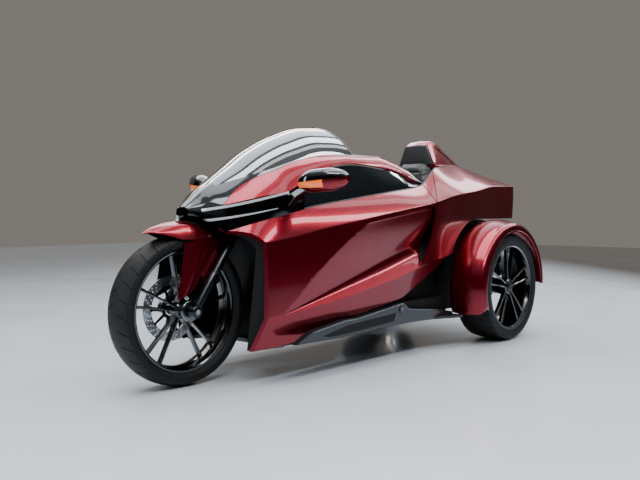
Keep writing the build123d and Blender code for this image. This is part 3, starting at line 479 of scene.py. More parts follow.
# station; y and z of the lamp strip or the arch's outer edge, and of the glass edge; z of the crown
UPPER_SECTIONS = [
    (20, 44, 830, 25, 840, 845),
    (70, 100, 838, 35, 880, 888),
    (120, 158, 853, 50, 925, 932),
    (170, 208, 867, 70, 950, 968),
    (300, 268, 898, 140, 996, 1055),
    (430, 298, 922, 184, 1038, 1140),
    (600, 297, 1000, 214, 1092, 1222),
    (800, 296, 1070, 238, 1127, 1283),
    (960, 296, 1085, 249, 1136, 1296),
    (REAR - 985, 295, 1072, 252, 1138, 1290),
    (REAR - 825, 296, 1050, 256, 1112, 1270),
    (REAR - 695, 300, 998, 266, 1070, 1250),
    (REAR - 595, 298, 990, 278, 1008, 1230),
]


def eased(rows, station):
    """Numbers of a table at a station: a cubic through the rows that never overshoots them."""
    i = max(k for k in range(len(rows) - 1) if rows[k][0] <= station or k == 0)
    x0, x1 = rows[i][0], rows[i + 1][0]
    rise = x1 - x0
    t = (station - x0) / rise
    values = []
    for column in range(1, len(rows[0])):
        slopes = []
        for k in (i, i + 1):
            before = after = None
            if k > 0:
                before = (rows[k][column] - rows[k - 1][column]) / (rows[k][0] - rows[k - 1][0])
            if k < len(rows) - 1:
                after = (rows[k + 1][column] - rows[k][column]) / (rows[k + 1][0] - rows[k][0])
            if before is None or after is None:
                slopes.append(after if before is None else before)
            elif before * after <= 0:
                slopes.append(0)
            else:
                slopes.append(2 * before * after / (before + after))
        values.append(
            rows[i][column] * (1 + 2 * t) * (1 - t) ** 2 + slopes[0] * rise * t * (1 - t) ** 2
            + rows[i + 1][column] * t * t * (3 - 2 * t) + slopes[1] * rise * t * t * (t - 1))
    return values


print("shoulder at the cockpit:", [round(v) for v in eased(SIDE_SECTIONS, REAR / 2)[2:4]])

# %% [markdown]
# ### Outline tools
# Straight lines between the corners would look like folded sheet. Each side of a section is therefore bowed
# by a few millimetres, and each corner is turned over a small radius, because paint never holds on a razor
# edge.
# %% Bow, round and offset outlines
def even(first, last, step=15):
    """Stations from first to last in equal steps."""
    count = max(1, math.ceil((last - first) / step))
    return [first + (last - first) * k / count for k in range(count + 1)]


def crowned(a, b, bulge, count):
    """Points from a, which is left out, to b, on a bow that stands out by bulge."""
    dy, dz = b[0] - a[0], b[1] - a[1]
    length = math.hypot(dy, dz) or 1
    points = []
    for k in range(1, count + 2):
        t = k / (count + 1)
        out = 4 * bulge * t * (1 - t) / length
        points.append((a[0] + dy * t - dz * out, a[1] + dz * t + dy * out))
    return points


def softened(points, index, radius, count=4):
    """The outline with one corner turned over a radius."""
    before, corner, after = (Vector(points[k % len(points)]) for k in (index - 1, index, index + 1))
    start = corner + (before - corner).normalized() * radius
    end = corner + (after - corner).normalized() * radius
    curve = []
    for k in range(count + 1):
        t = k / count
        curve.append(tuple(start * (1 - t) ** 2 + corner * 2 * t * (1 - t) + end * t * t))
    return points[:index] + curve + points[index + 1:]


def inset(points, depth):
    """Open outline moved to its right-hand side by a depth."""
    moved = []
    for i, (y, z) in enumerate(points):
        before, after = points[max(i - 1, 0)], points[min(i + 1, len(points) - 1)]
        dy, dz = after[0] - before[0], after[1] - before[1]
        length = math.hypot(dy, dz) or 1
        moved.append((y + dz / length * depth, z - dy / length * depth))
    return moved


def wall(points, thickness):
    """Closed outline of a wall along an open outline."""
    return list(points) + inset(points, thickness)[::-1]


def arc_through(a, b, c, count=24):
    """Points on the circle through three points."""
    (ax, ay), (bx, by), (cx, cy) = a, b, c
    d = 2 * (ax * (by - cy) + bx * (cy - ay) + cx * (ay - by))
    sa, sb, sc = ax * ax + ay * ay, bx * bx + by * by, cx * cx + cy * cy
    mx = (sa * (by - cy) + sb * (cy - ay) + sc * (ay - by)) / d
    my = (sa * (cx - bx) + sb * (ax - cx) + sc * (bx - ax)) / d
    radius = math.hypot(ax - mx, ay - my)
    start = math.atan2(ay - my, ax - mx)
    sweep = (math.atan2(cy - my, cx - mx) - start + math.pi) % (2 * math.pi) - math.pi
    angles = [start + sweep * k / count for k in range(count + 1)]
    return [(mx + radius * math.cos(angle), my + radius * math.sin(angle)) for angle in angles]


def body(name, stations, ring):
    """Loft along the vehicle through the sections that ring(station) gives."""
    return loft(name, [[place(s, y, z) for y, z in ring(s)] for s in stations])


def paired(pieces, slot, material, *nodes):
    """Dresses left pieces, mirrors them to the right, and lets each pair replace its nodes."""
    for obj in pieces:
        stem = obj.name.removesuffix("_left")
        other = mirrored(obj, stem + "_right")
        for piece, side in ((obj, "left"), (other, "right")):
            dress(piece, "chassis", material, [node + "_" + side for node in nodes])


# %% [markdown]
# ## Side panels
# Each side is one long fibre-reinforced panel. Its shoulder crease catches the light, the lower crease runs
# up into a tongue, and between them a ramp sinks towards a black intake slot in front of the rear wheel.
# The ramp could be sculpted by hand, but a wedge whose section is worked out at every station keeps its
# three faces flat and its lines dead straight, as on the real panel. The wedge is then cut from the lofted
# side.
# %% The ramp's wedge
PANEL_WALL = 14
RAMP_FLOOR = [(360, 352, 330), (925, 404, 764), (REAR - 785, 340, 560)]
RAMP_LEDGE = [(360, 352, 330), (REAR - 785, 424, 505), (REAR - 785, 379, 550)]
RAMP_ROOF = [(925, 404, 764), (REAR - 585, 402, 862), (925, 359, 739)]
FAR_Y = 620


def section_line(corners, station):
    """Line in which a plane through three places meets the section at a station: a y + b z = c."""
    a, b, c = [place(*corner) / MM for corner in corners]
    normal = (b - a).cross(c - a)
    return normal.y, normal.z, normal.dot(a) - normal.x * (FRONT_AXLE.x - station)


def crossing(first, second):
    """Point where two such lines meet."""
    (a, b, c), (d, e, f) = first, second
    det = a * e - b * d
    return (c * e - b * f) / det, (a * f - c * d) / det


def ramp_ring(station, deeper=0.0):
    """Section of the wedge: a bowed floor between a ledge below and a roof above."""
    floor, ledge, roof = [section_line(plane, station) for plane in (RAMP_FLOOR, RAMP_LEDGE, RAMP_ROOF)]
    low, high = crossing(floor, ledge), crossing(floor, roof)
    far_low = (FAR_Y, (ledge[2] - ledge[0] * FAR_Y) / ledge[1])
    far_high = (FAR_Y, (roof[2] - roof[0] * FAR_Y) / roof[1])
    cove = min(46, 3 + 0.055 * (station - 355))
    ring = softened(softened([far_low, low, high, far_high], 2, 9), 1, cove, 8)
    ring = ring[:10] + crowned(ring[9], ring[10], -4, 8)[:-1] + ring[10:]
    return [(y - deeper, z) for y, z in ring]


# %% Sections of the side
BOW = 4
CREASE_RADIUS = 6


def side_outline(station):
    """Sharp outer outline of the side from the top edge down to the sill, and the inner corners."""
    v = eased(SIDE_SECTIONS, station)
    top, shoulder, crease, sill = [(v[k], v[k + 1]) for k in (0, 2, 4, 6)]
    outline = [top] + crowned(top, shoulder, BOW, 7) + crowned(shoulder, crease, BOW, 14) + [sill]
    return outline, [(v[8], sill[1]), (v[9], v[10]), (v[11], v[12])]


def side_ring(station):
    """Whole section of the side, with its creases turned over."""
    outline, inner = side_outline(station)
    return softened(softened(outline, 23, CREASE_RADIUS), 8, CREASE_RADIUS) + inner


def core_ring(station):
    """Section of everything inside the panel's wall, open inwards and downwards."""
    outline = inset(side_outline(station)[0], PANEL_WALL)
    (top_y, top_z), (sill_y, sill_z) = outline[0], outline[-1]
    return outline + [(sill_y, sill_z - 60), (top_y - 90, sill_z - 60), (top_y - 90, top_z)]


# %% Loft the side and sink the ramp
side_first = SIDE_SECTIONS[0][0]
ramp_stations = even(355, REAR - 485, 20)
side = body("side", even(side_first, TAIL), side_ring)
space = body("space", even(side_first - 6, TAIL + 6), core_ring)
whole_side, hollow = twin(side), twin(space)
side = cut(side, body("ramp", ramp_stations, ramp_ring))
space = cut(space, body("inner_ramp", ramp_stations, lambda s: ramp_ring(s, PANEL_WALL)))
core = common(twin(space), whole_side, keep=True)
print("side faces:", len(side.data.polygons))

# %% [markdown]
# ### Seams and slot
# Panels of a vehicle's body never touch: they meet at an even gap over a dark structure, here one of 8 mm,
# as moulded plastic panels need. The slot is the crescent between the panel's rear edge and the rear
# quarter. Both are cut right through the panels, and a black inner core closes what lies behind them.
# %% Cutters of the side
SEAM = 8
ARCH_RADIUS = 434
ARCH_STATION = REAR - 30
SLOT_TOP = (REAR - 585, 892)
COLLAR_TOP = (REAR - 335, 1160)
slot_edge = arc_through(SLOT_TOP, (REAR - 632, 715), (REAR - 790, 512))
slot_front = arc_through((REAR - 586, 880), (REAR - 672, 715), (REAR - 816, 531))


def behind_slot(gap):
    """Cutter for what lies behind the slot and above the tongue, widened by a gap."""
    edge = [(s - gap, z) for s, z in slot_edge]
    low = 566 - gap
    edge += [(REAR - 385, low), (TAIL + 200, low), (TAIL + 200, 1400), (edge[0][0], 1400)]
    return prism("behind_slot", edge, 90, 640)


def wheel_opening(radius):
    """Cutter for the round opening over a rear wheel."""
    turns = [2 * math.pi * k / 96 for k in range(96)]
    ring = [(ARCH_STATION + radius * math.cos(a), REAR_AXLE.z + radius * math.sin(a)) for a in turns]
    return prism("opening", ring, -10, 700)


def front_edge(back):
    """Cutter for what lies ahead of the panel's swept front edge."""
    return beyond(place(150 + back, 215, 0), (121, 100, 0))


def rising_sill(low):
    """Cutter for what lies under the sill where it rises towards the rear wheel."""
    return beyond(place(REAR - 915, 0, low), (-228, 0, -472))


def collar_zone(gap):
    """Cutter for the collar, the piece between the two seams that run down to a point on the shoulder."""
    rear_seam = [(COLLAR_TOP[0] + 90 - gap, 1300), (COLLAR_TOP[0] - gap, COLLAR_TOP[1])]
    foot = SLOT_TOP[0] - 1, SLOT_TOP[1] - 12
    return prism("collar_zone", [foot, (foot[0], 1300)] + rear_seam + [(foot[0] + 8 - gap, foot[1])], 90, 640)


# %% Cut the side into its panels
CORE_END = REAR - 100
TAIL_LEAN = 30
quarter = common(whole_side, behind_slot(0))
below_tail = prism("below_tail", [(REAR, 300), (REAR, 776), (TAIL + 100, 776), (TAIL + 100, 300)], 0, 700)
quarter = cut(quarter, wheel_opening(ARCH_RADIUS), below_tail)
slot = prism("slot", slot_front + slot_edge[::-1], 200, 640)
side = cut(side, behind_slot(SEAM), slot, front_edge(0), rising_sill(338), wheel_opening(ARCH_RADIUS))
closed_rear = [(CORE_END, 50), (CORE_END, 1500), (TAIL + 300, 1500), (TAIL + 300, 50)]
closed_rear = prism("closed_rear", closed_rear, -200, 700)
core = cut(core, closed_rear, keep=True)
quarter = cut(quarter, cut(hollow, closed_rear), beyond(place(TAIL, 0, 1006), (-221, 0, -TAIL_LEAN)))
collar = common(twin(quarter), collar_zone(SEAM))
quarter = cut(quarter, collar_zone(0))
side = cut(side, space)
pocket = [(s - 3, z) for s, z in slot_front] + [(s + 24, z + 3) for s, z in slot_edge[::-1]]
pocket = prism("pocket", pocket, 318, 640)
core = cut(core, pocket, wheel_opening(ARCH_RADIUS + 2), front_edge(30), rising_sill(348))
side.name, core.name = "side_skin_left", "side_structure_left"
quarter.name, collar.name = "quarter_skin_left", "collar_skin_left"
print("core faces:", len(core.data.polygons))

# %% [markdown]
# ### Rolled edges
# Moulded panels have edges with a small radius. It costs nothing in the mould and keeps the paint from
# chipping, and on screen it draws the thin bright line along every crease.
# %% Round the edges and dress the panels
def polished(obj, width=1.6):
    """Rolled edges and even shading for a cut panel."""
    rounded(obj, width, 32)
    even_shading = obj.modifiers.new("even shading", "WEIGHTED_NORMAL")
    even_shading.keep_sharp = True
    even_shading.weight = 100
    return bake(obj)


for panel in (side, quarter, collar):
    polished(panel)
paired([side], "red_paint", candy_red, "side_panel")
paired([quarter], "red_paint", candy_red, "rear_quarter")
paired([collar], "red_paint", candy_red, "cockpit_collar")
paired([core], "matte_black", matte_black)

# %% [markdown]
# ### Rear wheel arches
# Behind each opening a moulded liner keeps the spray out of the body: a barrel that follows the arch and a
# flat inner wall. It is black and grained, so that the opening reads as a dark gap between the body and the
# fender.
# %% Arch liners
arch_centre = place(ARCH_STATION, 0, REAR_AXLE.z) / MM
band = [(206, ARCH_RADIUS - 6), (352, ARCH_RADIUS - 6), (352, ARCH_RADIUS - 2), (206, ARCH_RADIUS - 2)]
arch_barrel = swept("arch_barrel", arch_centre, [(-86 + 172 * k / 72, band) for k in range(73)])
wall_radius = ARCH_RADIUS - 4
turns = [math.radians(a) for a in range(-70, 71, 5)]
chord = [(ARCH_STATION + wall_radius * math.sin(a), REAR_AXLE.z + wall_radius * math.cos(a)) for a in turns]
arch_liner = joined("arch_liner_left", [arch_barrel, prism("arch_wall", chord, 203, 207)])
paired([arch_liner], "matte_black", matte_black)

# %% [markdown]
# ## Nose, arch rails and glass
# Above the side panels lies a second surface. It starts as the black nose, splits into the two red arch
# rails that frame the cockpit, and carries the windscreen between them. All of it comes from one table, so
# the pieces meet without a step. The red of each rail starts as a point beside the lamp and widens until
# only a thin black line is left along the glass.
# %% Points of the upper surface
NOSE_TIP = 20
NOSE_END = 170
BAND_END = 545
RAIL_START = 132
TIP_BASE = (42, 806)
TRIM_WALL = 12
# station; share of the rail that is red, from its outer edge to the glass
RED_SHARE = [
    (RAIL_START, 0.02), (160, 0.22), (200, 0.46), (260, 0.68), (350, 0.84), (600, 0.93), (REAR - 820, 0.93),
    (REAR - 740, 0.7), (REAR - 650, 0.08)]


def upper_points(station):
    """Base, strip and glass edge of the left side, and the crown's height."""
    v = eased(UPPER_SECTIONS, station)
    edge = eased(SIDE_SECTIONS, max(station, side_first))
    base = (edge[0], edge[1] + 0.5)
    if station < side_first:
        t = (station - NOSE_TIP) / (side_first - NOSE_TIP)
        base = (TIP_BASE[0] + (base[0] - TIP_BASE[0]) * t, TIP_BASE[1] + (base[1] - TIP_BASE[1]) * t * t)
    return base, (v[0], v[1]), (v[2], v[3]), v[4]


def both_halves(left):
    """Whole outline from its left half, which ends at the middle."""
    return left + [(-y, z) for y, z in reversed(left[:-1])]


def rail_outline(station, low, high, count=6):
    """Points of the arch rail between two shares of its width."""
    base, strip, glass, crown = upper_points(station)
    dy, dz = glass[0] - strip[0], glass[1] - strip[1]
    length = math.hypot(dy, dz)
    points = []
    for k in range(count + 1):
        t = low + (high - low) * k / count
        out = 4 * 6 * t * (1 - t) / length
        points.append((strip[0] + dy * t + dz * out, strip[1] + dz * t - dy * out))
    return points


def red_share(station):
    """Share of the rail's width that is painted red."""
    return eased(RED_SHARE, station)[0]


# %% Sections of the nose
def nose_ring(station):
    """Section of the whole nose."""
    base, strip, glass, crown = upper_points(station)
    left = [base] + crowned(base, strip, -4, 5) + crowned(strip, glass, -6, 7)
    left += crowned(glass, (0, crown), -5, 5)
    return both_halves(softened(softened(left, 14, 5), 6, 3))


def nose_space_ring(station):
    """Section of the space inside the nose, open downwards."""
    base, strip, glass, crown = upper_points(station)
    left = [(base[0] - TRIM_WALL, base[1] - 60), (strip[0] - TRIM_WALL, strip[1] - TRIM_WALL / 2),
            (max(glass[0] - TRIM_WALL, 8), glass[1] - TRIM_WALL - 4), (0, crown - TRIM_WALL - 4)]
    return both_halves(left)


def band_ring(station):
    """Section of the band beside the nose, from its foot to the lamp strip."""
    base, strip, glass, crown = upper_points(station)
    return wall([base] + crowned(base, strip, -4, 5), -TRIM_WALL)


nose = body("nose_moulding", even(NOSE_TIP, NOSE_END, 8), nose_ring)
nose = cut(nose, body("nose_space", even(NOSE_TIP + 14, NOSE_END + 1, 12), nose_space_ring))
band = body("nose_band", even(NOSE_END - 4, BAND_END), band_ring)
nose = cut(nose, band, mirrored(band, "band_right"), operation="UNION")
print("nose faces:", len(nose.data.polygons))

# %% [markdown]
# ### Lamp strips
# The lamps are two light guides on each side, set flush in the nose with a hairline gap. They are the same
# surface as the nose, so they are cut out of a copy of it. The zone that takes them out of the nose is a
# little larger.
# %% Lamps and nose
LAMP_ZONES = [
    [(62, 824), (62, 836), (440, 925), (440, 914)],
    [(70, 776), (70, 788), (372, 842), (372, 838)]]


def lamp_cutter(grow):
    """Both strips of one side as a cutter, larger by grow."""
    strips = []
    for low_a, high_a, high_b, low_b in LAMP_ZONES:
        outline = [(low_a[0] - grow, low_a[1] - grow), (high_a[0] - grow, high_a[1] + grow),
                   (high_b[0] + grow, high_b[1] + grow), (low_b[0] + grow, low_b[1] - grow)]
        strips.append(prism("strip", outline, 40 - grow, 400))
    return joined("strips", strips)


def red_cutter_ring(station):
    """Section that clears the painted rail out of the nose, with a hairline gap."""
    outline = rail_outline(station, 0.0, red_share(station) + 0.02)
    return inset(outline, 5) + inset(outline, -TRIM_WALL - 20)[::-1]


lamps = common(twin(nose), lamp_cutter(0))
lamps.name = "lamp_guide_left"
for opening in (lamp_cutter(1.2), body("rail_gap", even(RAIL_START, BAND_END + 10, 10), red_cutter_ring)):
    other = mirrored(opening, "other_opening")
    nose = cut(nose, opening, other)
dress(polished(nose, 1.2), "chassis", gloss_black, ["nose_panel"])
paired([lamps], "lamp_lens", lamp_lens, "headlamp")

# %% [markdown]
# ### Arch rails
# Each rail is a moulding with a red outer face. A black strip joins it to the glass, as the ceramic edge of
# a bonded windscreen does.
# %% Rails
def red_rail_ring(station):
    """Section of the painted rail."""
    return wall(rail_outline(station, 0.0, red_share(station), 8), -TRIM_WALL)


def black_rail_ring(station):
    """Section of the black strip between the paint and the glass."""
    return wall(rail_outline(station, red_share(station) + 0.015, 1.0, 8), -TRIM_WALL)


rail_end = REAR - 652
red_rail = body("rail_skin_left", even(RAIL_START, rail_end, 12), red_rail_ring)
black_rail = body("rail_trim_left", even(NOSE_END, REAR - 595, 12), black_rail_ring)
paired([polished(red_rail, 2.0)], "red_paint", candy_red, "arch_rail")
paired([polished(black_rail, 2.0)], "gloss_black", gloss_black)

# %% Windscreen
SCREEN_SIDES = 36
GLASS_WALL = 4


def screen_ring(station, out=0.0, thickness=GLASS_WALL):
    """Section of the windscreen: a circle's arc from one glass edge to the other."""
    base, strip, glass, crown = upper_points(station)
    half, rise = glass[0] - 1, crown - glass[1]
    radius = (half * half + rise * rise) / (2 * rise)
    reach = math.atan2(half, radius - rise)
    arc = []
    for k in range(SCREEN_SIDES + 1):
        angle = reach * (1 - 2 * k / SCREEN_SIDES)
        arc.append(((radius + out) * math.sin(angle), crown - radius + (radius + out) * math.cos(angle)))
    return wall(arc, -thickness)


REARWARDS = Vector((-158, 0, 66))
windscreen = body("screen_glass", even(138, 1050, 16), screen_ring)
windscreen = cut(windscreen, beyond(place(925, 0, 1296), REARWARDS))
dress(windscreen, "chassis", tinted_glass, ["windscreen"])
rim_trim = body("screen_trim", even(700, 1050, 16), lambda s: screen_ring(s, 1.5, GLASS_WALL + 4))
rim_trim = cut(rim_trim, beyond(place(926.5, 0, 1296), REARWARDS), beyond(place(913, 0, 1296), -REARWARDS))
dress(rim_trim, "chassis", seal_rubber)

# %% Side windows and seals
WINDOW_END = REAR - 645


def window_ring(station):
    """Section of the side window, set in behind the rail and standing on the belt."""
    base, strip, glass, crown = upper_points(station)
    low, high = (base[0] - 6, base[1] + 0.5), (strip[0] - 6, strip[1] - 10)
    return wall([low] + crowned(low, high, -3, 6), -GLASS_WALL)


window = body("window_glass_left", even(BAND_END + 1, WINDOW_END), window_ring)
paired([window], "tinted_glass", tinted_glass, "side_window")


def seal_ring(station):
    """Section of the rubber bead along the belt and round the cockpit's edge."""
    v = eased(SIDE_SECTIONS, station)
    y, z = v[0] - 4, v[1] + 1
    return [(y + 4.5 * math.cos(math.pi * k / 4), z + 4.5 * math.sin(math.pi * k / 4)) for k in range(8)]


seal = body("belt_seal_left", even(BAND_END + 2, REAR - 338), seal_ring)
paired([seal], "matte_black", seal_rubber)

# %% [markdown]
# ## Rear deck and headrest hump
# The deck closes the body between the quarters. The hump on it fairs the rider's head. Each of its flanks
# has a sunken field inside a raised border, which is pressed into the moulding to stiffen it.
# %% Sections of the deck and the hump
DECK_WALL = 22
HUMP_SECTIONS = [
    (REAR - 223, 143, 1118, 84, 1268),
    (REAR - 170, 141, 1110, 80, 1296),
    (REAR + 100, 112, 1090, 50, 1214),
    (REAR + 290, 74, 1062, 28, 1146),
    (REAR + 470, 36, 1050, 10, 1082),
]
deck_first = REAR - 215


def deck_ring(station, low=None):
    """Section of the deck, level with the quarters' top edges."""
    v = eased(SIDE_SECTIONS, station)
    y, z = min(v[0], v[11]), v[1]
    foot = z - DECK_WALL if low is None else low
    left = [(y, foot), (y, z - 3), (y - 3, z)] + crowned((y - 3, z), (0, z + 9), -1.5, 4)
    return both_halves(left)


def hump_ring(station, depth=0.0):
    """Section of the hump: a narrow top and sloping flanks."""
    foot_y, foot_z, top_y, top_z = eased(HUMP_SECTIONS, station)
    left = [(foot_y - depth, foot_z), (foot_y - depth, foot_z + 12)]
    left += crowned(left[1], (top_y - depth, top_z - 4), -3, 5) + [(0, top_z + 3)]
    return both_halves(softened(left, 7, 7, 5))


# %% Deck and hump with its sunken fields
hump_first, hump_last = HUMP_SECTIONS[0][0], HUMP_SECTIONS[-1][0]
deck = body("deck_skin", even(deck_first, TAIL), deck_ring)
hump = body("hump_skin", even(hump_first, hump_last - 10, 12), hump_ring)
hump = cut(hump, body("below", even(deck_first, TAIL), lambda s: deck_ring(s, 900)))
field = prism("field", [(REAR - 196, 1136), (REAR - 196, 1246), (REAR - 150, 1262), (REAR + 60, 1190),
                        (REAR + 170, 1120)], -200, 200)
inside = body("hump_inside", even(hump_first - 20, hump_last, 12), lambda s: hump_ring(max(s, hump_first), 5))
hump = cut(hump, cut(field, inside))
dress(polished(deck, 2.5), "chassis", candy_red, ["rear_deck"])
dress(polished(hump, 2.5), "chassis", candy_red, ["headrest_hump"])

# %% [markdown]
# ## Fenders
# A fender is a shell turned about its wheel's axle, so a section is swept round the axle. The front one is
# gabled, with a beak ahead and a blade down each side that carries it on the fork.
# %% Rear fenders
FENDER_CROWN = 430
FENDER_INNER_Y, FENDER_OUTER_Y = 366, 620
LIP = REAR_AXLE.z + 9


def fender_outline():
    """Section of a rear fender, from its inner edge over the arch to the lip."""
    shoulder = FENDER_CROWN - 18
    arch = arc_through((FENDER_INNER_Y + 29, FENDER_CROWN - 15), (FENDER_INNER_Y + 119, FENDER_CROWN),
                       (FENDER_OUTER_Y - 35, shoulder), 14)
    inner = arc_through((FENDER_INNER_Y, LIP + 8), (FENDER_INNER_Y + 7, FENDER_CROWN - 37), arch[0], 5)
    outer = arc_through(arch[-1], (FENDER_OUTER_Y - 10, FENDER_CROWN - 29),
                        (FENDER_OUTER_Y, FENDER_CROWN - 50), 6)
    lip = [(FENDER_OUTER_Y - 1, FENDER_CROWN - 68), (FENDER_OUTER_Y - 4, FENDER_CROWN - 71),
           (FENDER_OUTER_Y - 5, LIP)]
    return inner[:-1] + arch + outer[1:] + lip


FOOT_ROUND = 62
fender_section = wall(fender_outline(), 5)
rear_fender = swept("rear_fender_skin_left", Vector((REAR_AXLE.x, 0, REAR_AXLE.z)),
                    [(-90 + 2 * k, fender_section) for k in range(101)])
foot_y = FENDER_OUTER_Y - FOOT_ROUND
foot_z = REAR_AXLE.z - FENDER_CROWN * math.sin(math.radians(20)) + FOOT_ROUND
foot_corner = [(foot_y + FOOT_ROUND * math.sin(a), foot_z - FOOT_ROUND * math.cos(a))
               for a in [math.radians(6 * k) for k in range(16)]]
foot_corner += [(FENDER_OUTER_Y + 20, foot_z), (FENDER_OUTER_Y + 20, foot_z - 110), (foot_y, foot_z - 110)]
rear_fender = cut(rear_fender, body("foot_corner", [REAR - 500, REAR - 230], lambda s: foot_corner))
paired([polished(rear_fender, 1.5)], "red_paint", candy_red, "rear_fender")

# %% Front fender's hood
# angle; radius of the ridge; y and radius of the shoulder and of the edge
FRONT_FENDER = [
    (-33, 421, 54, 405, 84, 362),
    (-15, 424, 60, 407, 93, 342),
    (0, 424, 60, 407, 94, 336),
    (8, 424, 57, 407, 92, 342),
    (16, 425, 47, 410, 76, 368),
    (24, 425, 24, 416, 42, 402),
    (29, 424, 3, 422, 6, 417),
]


def front_fender_ring(degrees):
    """Gabled section: ridge, shoulder and a hanging edge on each side."""
    ridge, shoulder_y, shoulder_r, edge_y, edge_r = eased(FRONT_FENDER, degrees)
    right = [(-edge_y, edge_r)] + crowned((-edge_y, edge_r), (-shoulder_y, shoulder_r), 3, 4)
    right += crowned((-shoulder_y, shoulder_r), (0, ridge), 2, 4)
    right = softened(right, 5, min(5, shoulder_y / 4))
    outline = right[:-1] + [(-y, r) for y, r in reversed(right)]
    return wall(outline, 3.5)


hood = swept("hood", FRONT_AXLE, [(a, front_fender_ring(a)) for a in even(-33, 29, 1.5)])

# %% Front fender's blades
# height; station of the front and of the rear edge of the blade
BLADE = [
    (418, -79, -70), (430, -76, -30), (445, -73, 2), (490, -64, 40), (545, -53, 80), (600, -45, 121),
    (645, -39, 158), (676, -37, 200)]


def blade_point(u, v, out):
    """Point of the blade, from its front to its rear edge and from its tip to its top."""
    front, rear = eased(BLADE, v)
    top = BLADE[-1][0]
    rise = 16 * 4 * u * (1 - u) * ((v - BLADE[0][0]) / (top - BLADE[0][0])) ** 4
    ramp_up = min(1, (v - BLADE[0][0]) / 60)
    channel = math.exp(-((u - 0.72) / 0.09) ** 2) * ramp_up * min(1, max(0, (690 - v) / 60))
    y = 90 + out * (1.0 + 6.0 * math.sin(math.pi * min(u, 1)) ** 0.8 - 5.5 * channel)
    return place(front + (rear - front) * u, y, v + rise)


blade_rings = []
for v in even(BLADE[0][0], BLADE[-1][0], 7):
    outside = [blade_point(k / 32, v, 1) for k in range(33)]
    inside = [blade_point(k / 32, v, 0) + across(-1.5 * MM) for k in range(32, -1, -1)]
    blade_rings.append(outside + inside)
tab = prism("tab", [(62, 520), (150, 640), (172, 600), (88, 478)], 88.5, 92.5)
bracket = joined("bracket", [loft("blade", blade_rings), tab])
front_fender = joined("front_fender_skin", [hood, mirrored(bracket, "bracket_right"), bracket])
dress(polished(front_fender, 1.2), "steering_fork", candy_red, ["front_fender"])

# %% Front fender's lining
lining_rings = []
for v in even(BLADE[0][0] + 6, BLADE[-1][0] - 4, 14):
    row = [blade_point(0.03 + 0.94 * k / 12, v, 0) for k in range(13)]
    lining_rings.append([p + across(-1.7 * MM) for p in row] + [p + across(-2.4 * MM) for p in row[::-1]])
lining = loft("lining", lining_rings)
hood_lining = swept("hood_lining", FRONT_AXLE, [
    (a, wall(inset(front_fender_ring(a)[:17], 3.7), 0.8)) for a in even(-32, 24, 4)])
lining = joined("front_fender_lining", [lining, mirrored(lining, "lining_right"), hood_lining])
dress(lining, "steering_fork", matte_black)

# %% [markdown]
# ## Tyres
# Motorcycle road tyres have curved sipes, narrow grooves that bend the rubber and clear water. They could
# be a bump pattern, but they show on the tyre's outline, so they are cut in the mesh. The grid's columns
# run along the sipes: each sipe is two columns pushed in, and no edge crosses it.
# %% Grooved tyre
SIPE_DEPTH = 4.5
SIPE_COLUMNS = [(0.0, 0.0), (0.02, 1.0), (0.055, 1.0), (0.075, 0.0), (0.3, 0.0), (0.55, 0.0), (0.8, 0.0)]


def tyre_profile(radius, width, rim_radius, rim_width, tread_half, drop):
    """Outline of (y, radius), from one bead over the tread to the other."""
    flange = rim_width / 2 + 2
    half = width / 2
    mid = (rim_radius + radius) / 2
    left = arc_through((flange, rim_radius + 3), (half, mid), (tread_half, radius - drop), 12)
    rib = [(flange + 3.5, rim_radius + 5), (flange + 5.5, rim_radius + 8)]
    left = [(flange - 10, rim_radius + 0.5), (flange - 1, rim_radius + 1)] + rib + left[2:]
    crown = arc_through((tread_half, radius - drop), (0, radius), (-tread_half, radius - drop), 26)
    right = [(-y, r) for y, r in reversed(left)]
    return left[:-1] + crown + right[1:]


def grooved_tyre(name, centre, pitches, swept_back, sizes):
    """Tyre with slanted sipes on both shoulders; swept_back is their slant in degrees."""
    radius, tread_half = sizes[0], sizes[4]
    outline = tyre_profile(*sizes)
    pitch = 2 * math.pi / pitches
    rings = []
    for p in range(pitches):
        for share, depth in SIPE_COLUMNS:
            ring = []
            for y, r in outline:
                aside = abs(y / tread_half)
                side_shift = 0.5 * max(-1, min(1, y / tread_half * 6))
                angle = pitch * (p + share + 0.5 * side_shift)
                angle += math.radians(swept_back) * min(1.25, aside) ** 1.6
                reach = max(0.0, min(1.0, (aside - 0.16) * 7)) * max(0.0, min(1.0, (1.18 - aside) * 8))
                low = r - depth * reach * SIPE_DEPTH if r > radius * 0.86 else r
                ring.append(about(centre, angle, y, low))
            rings.append(ring)
    rings.append(rings[0])
    obj = loft(name, rings, caps=False, around=False)
    thick = obj.modifiers.new("carcass", "SOLIDIFY")
    thick.thickness = 9 * MM
    thick.offset = -1
    return shade(bake(obj), math.radians(38))


# radius and width; radius and width of the rim; half width and drop of the tread
FRONT_TYRE = (357.5, 163, 290, 112, 77, 17)
REAR_TYRE = (342.5, 235, 270, 212, 111, 11)
rear_places = {side: Vector((REAR_AXLE.x, sign * REAR_AXLE.y, REAR_AXLE.z)) for side, sign in SIDES.items()}
front_tyre = grooved_tyre("front_tyre_rubber", FRONT_AXLE, 30, 5, FRONT_TYRE)
dress(front_tyre, "front_wheel_body", tyre_rubber, ["front_tyre"])
for side_name, hub in rear_places.items():
    rear_tyre = grooved_tyre(f"rear_tyre_rubber_{side_name}", hub, 36, 4, REAR_TYRE)
    dress(rear_tyre, f"rear_{side_name}_body", tyre_rubber, [f"rear_tyre_{side_name}"])

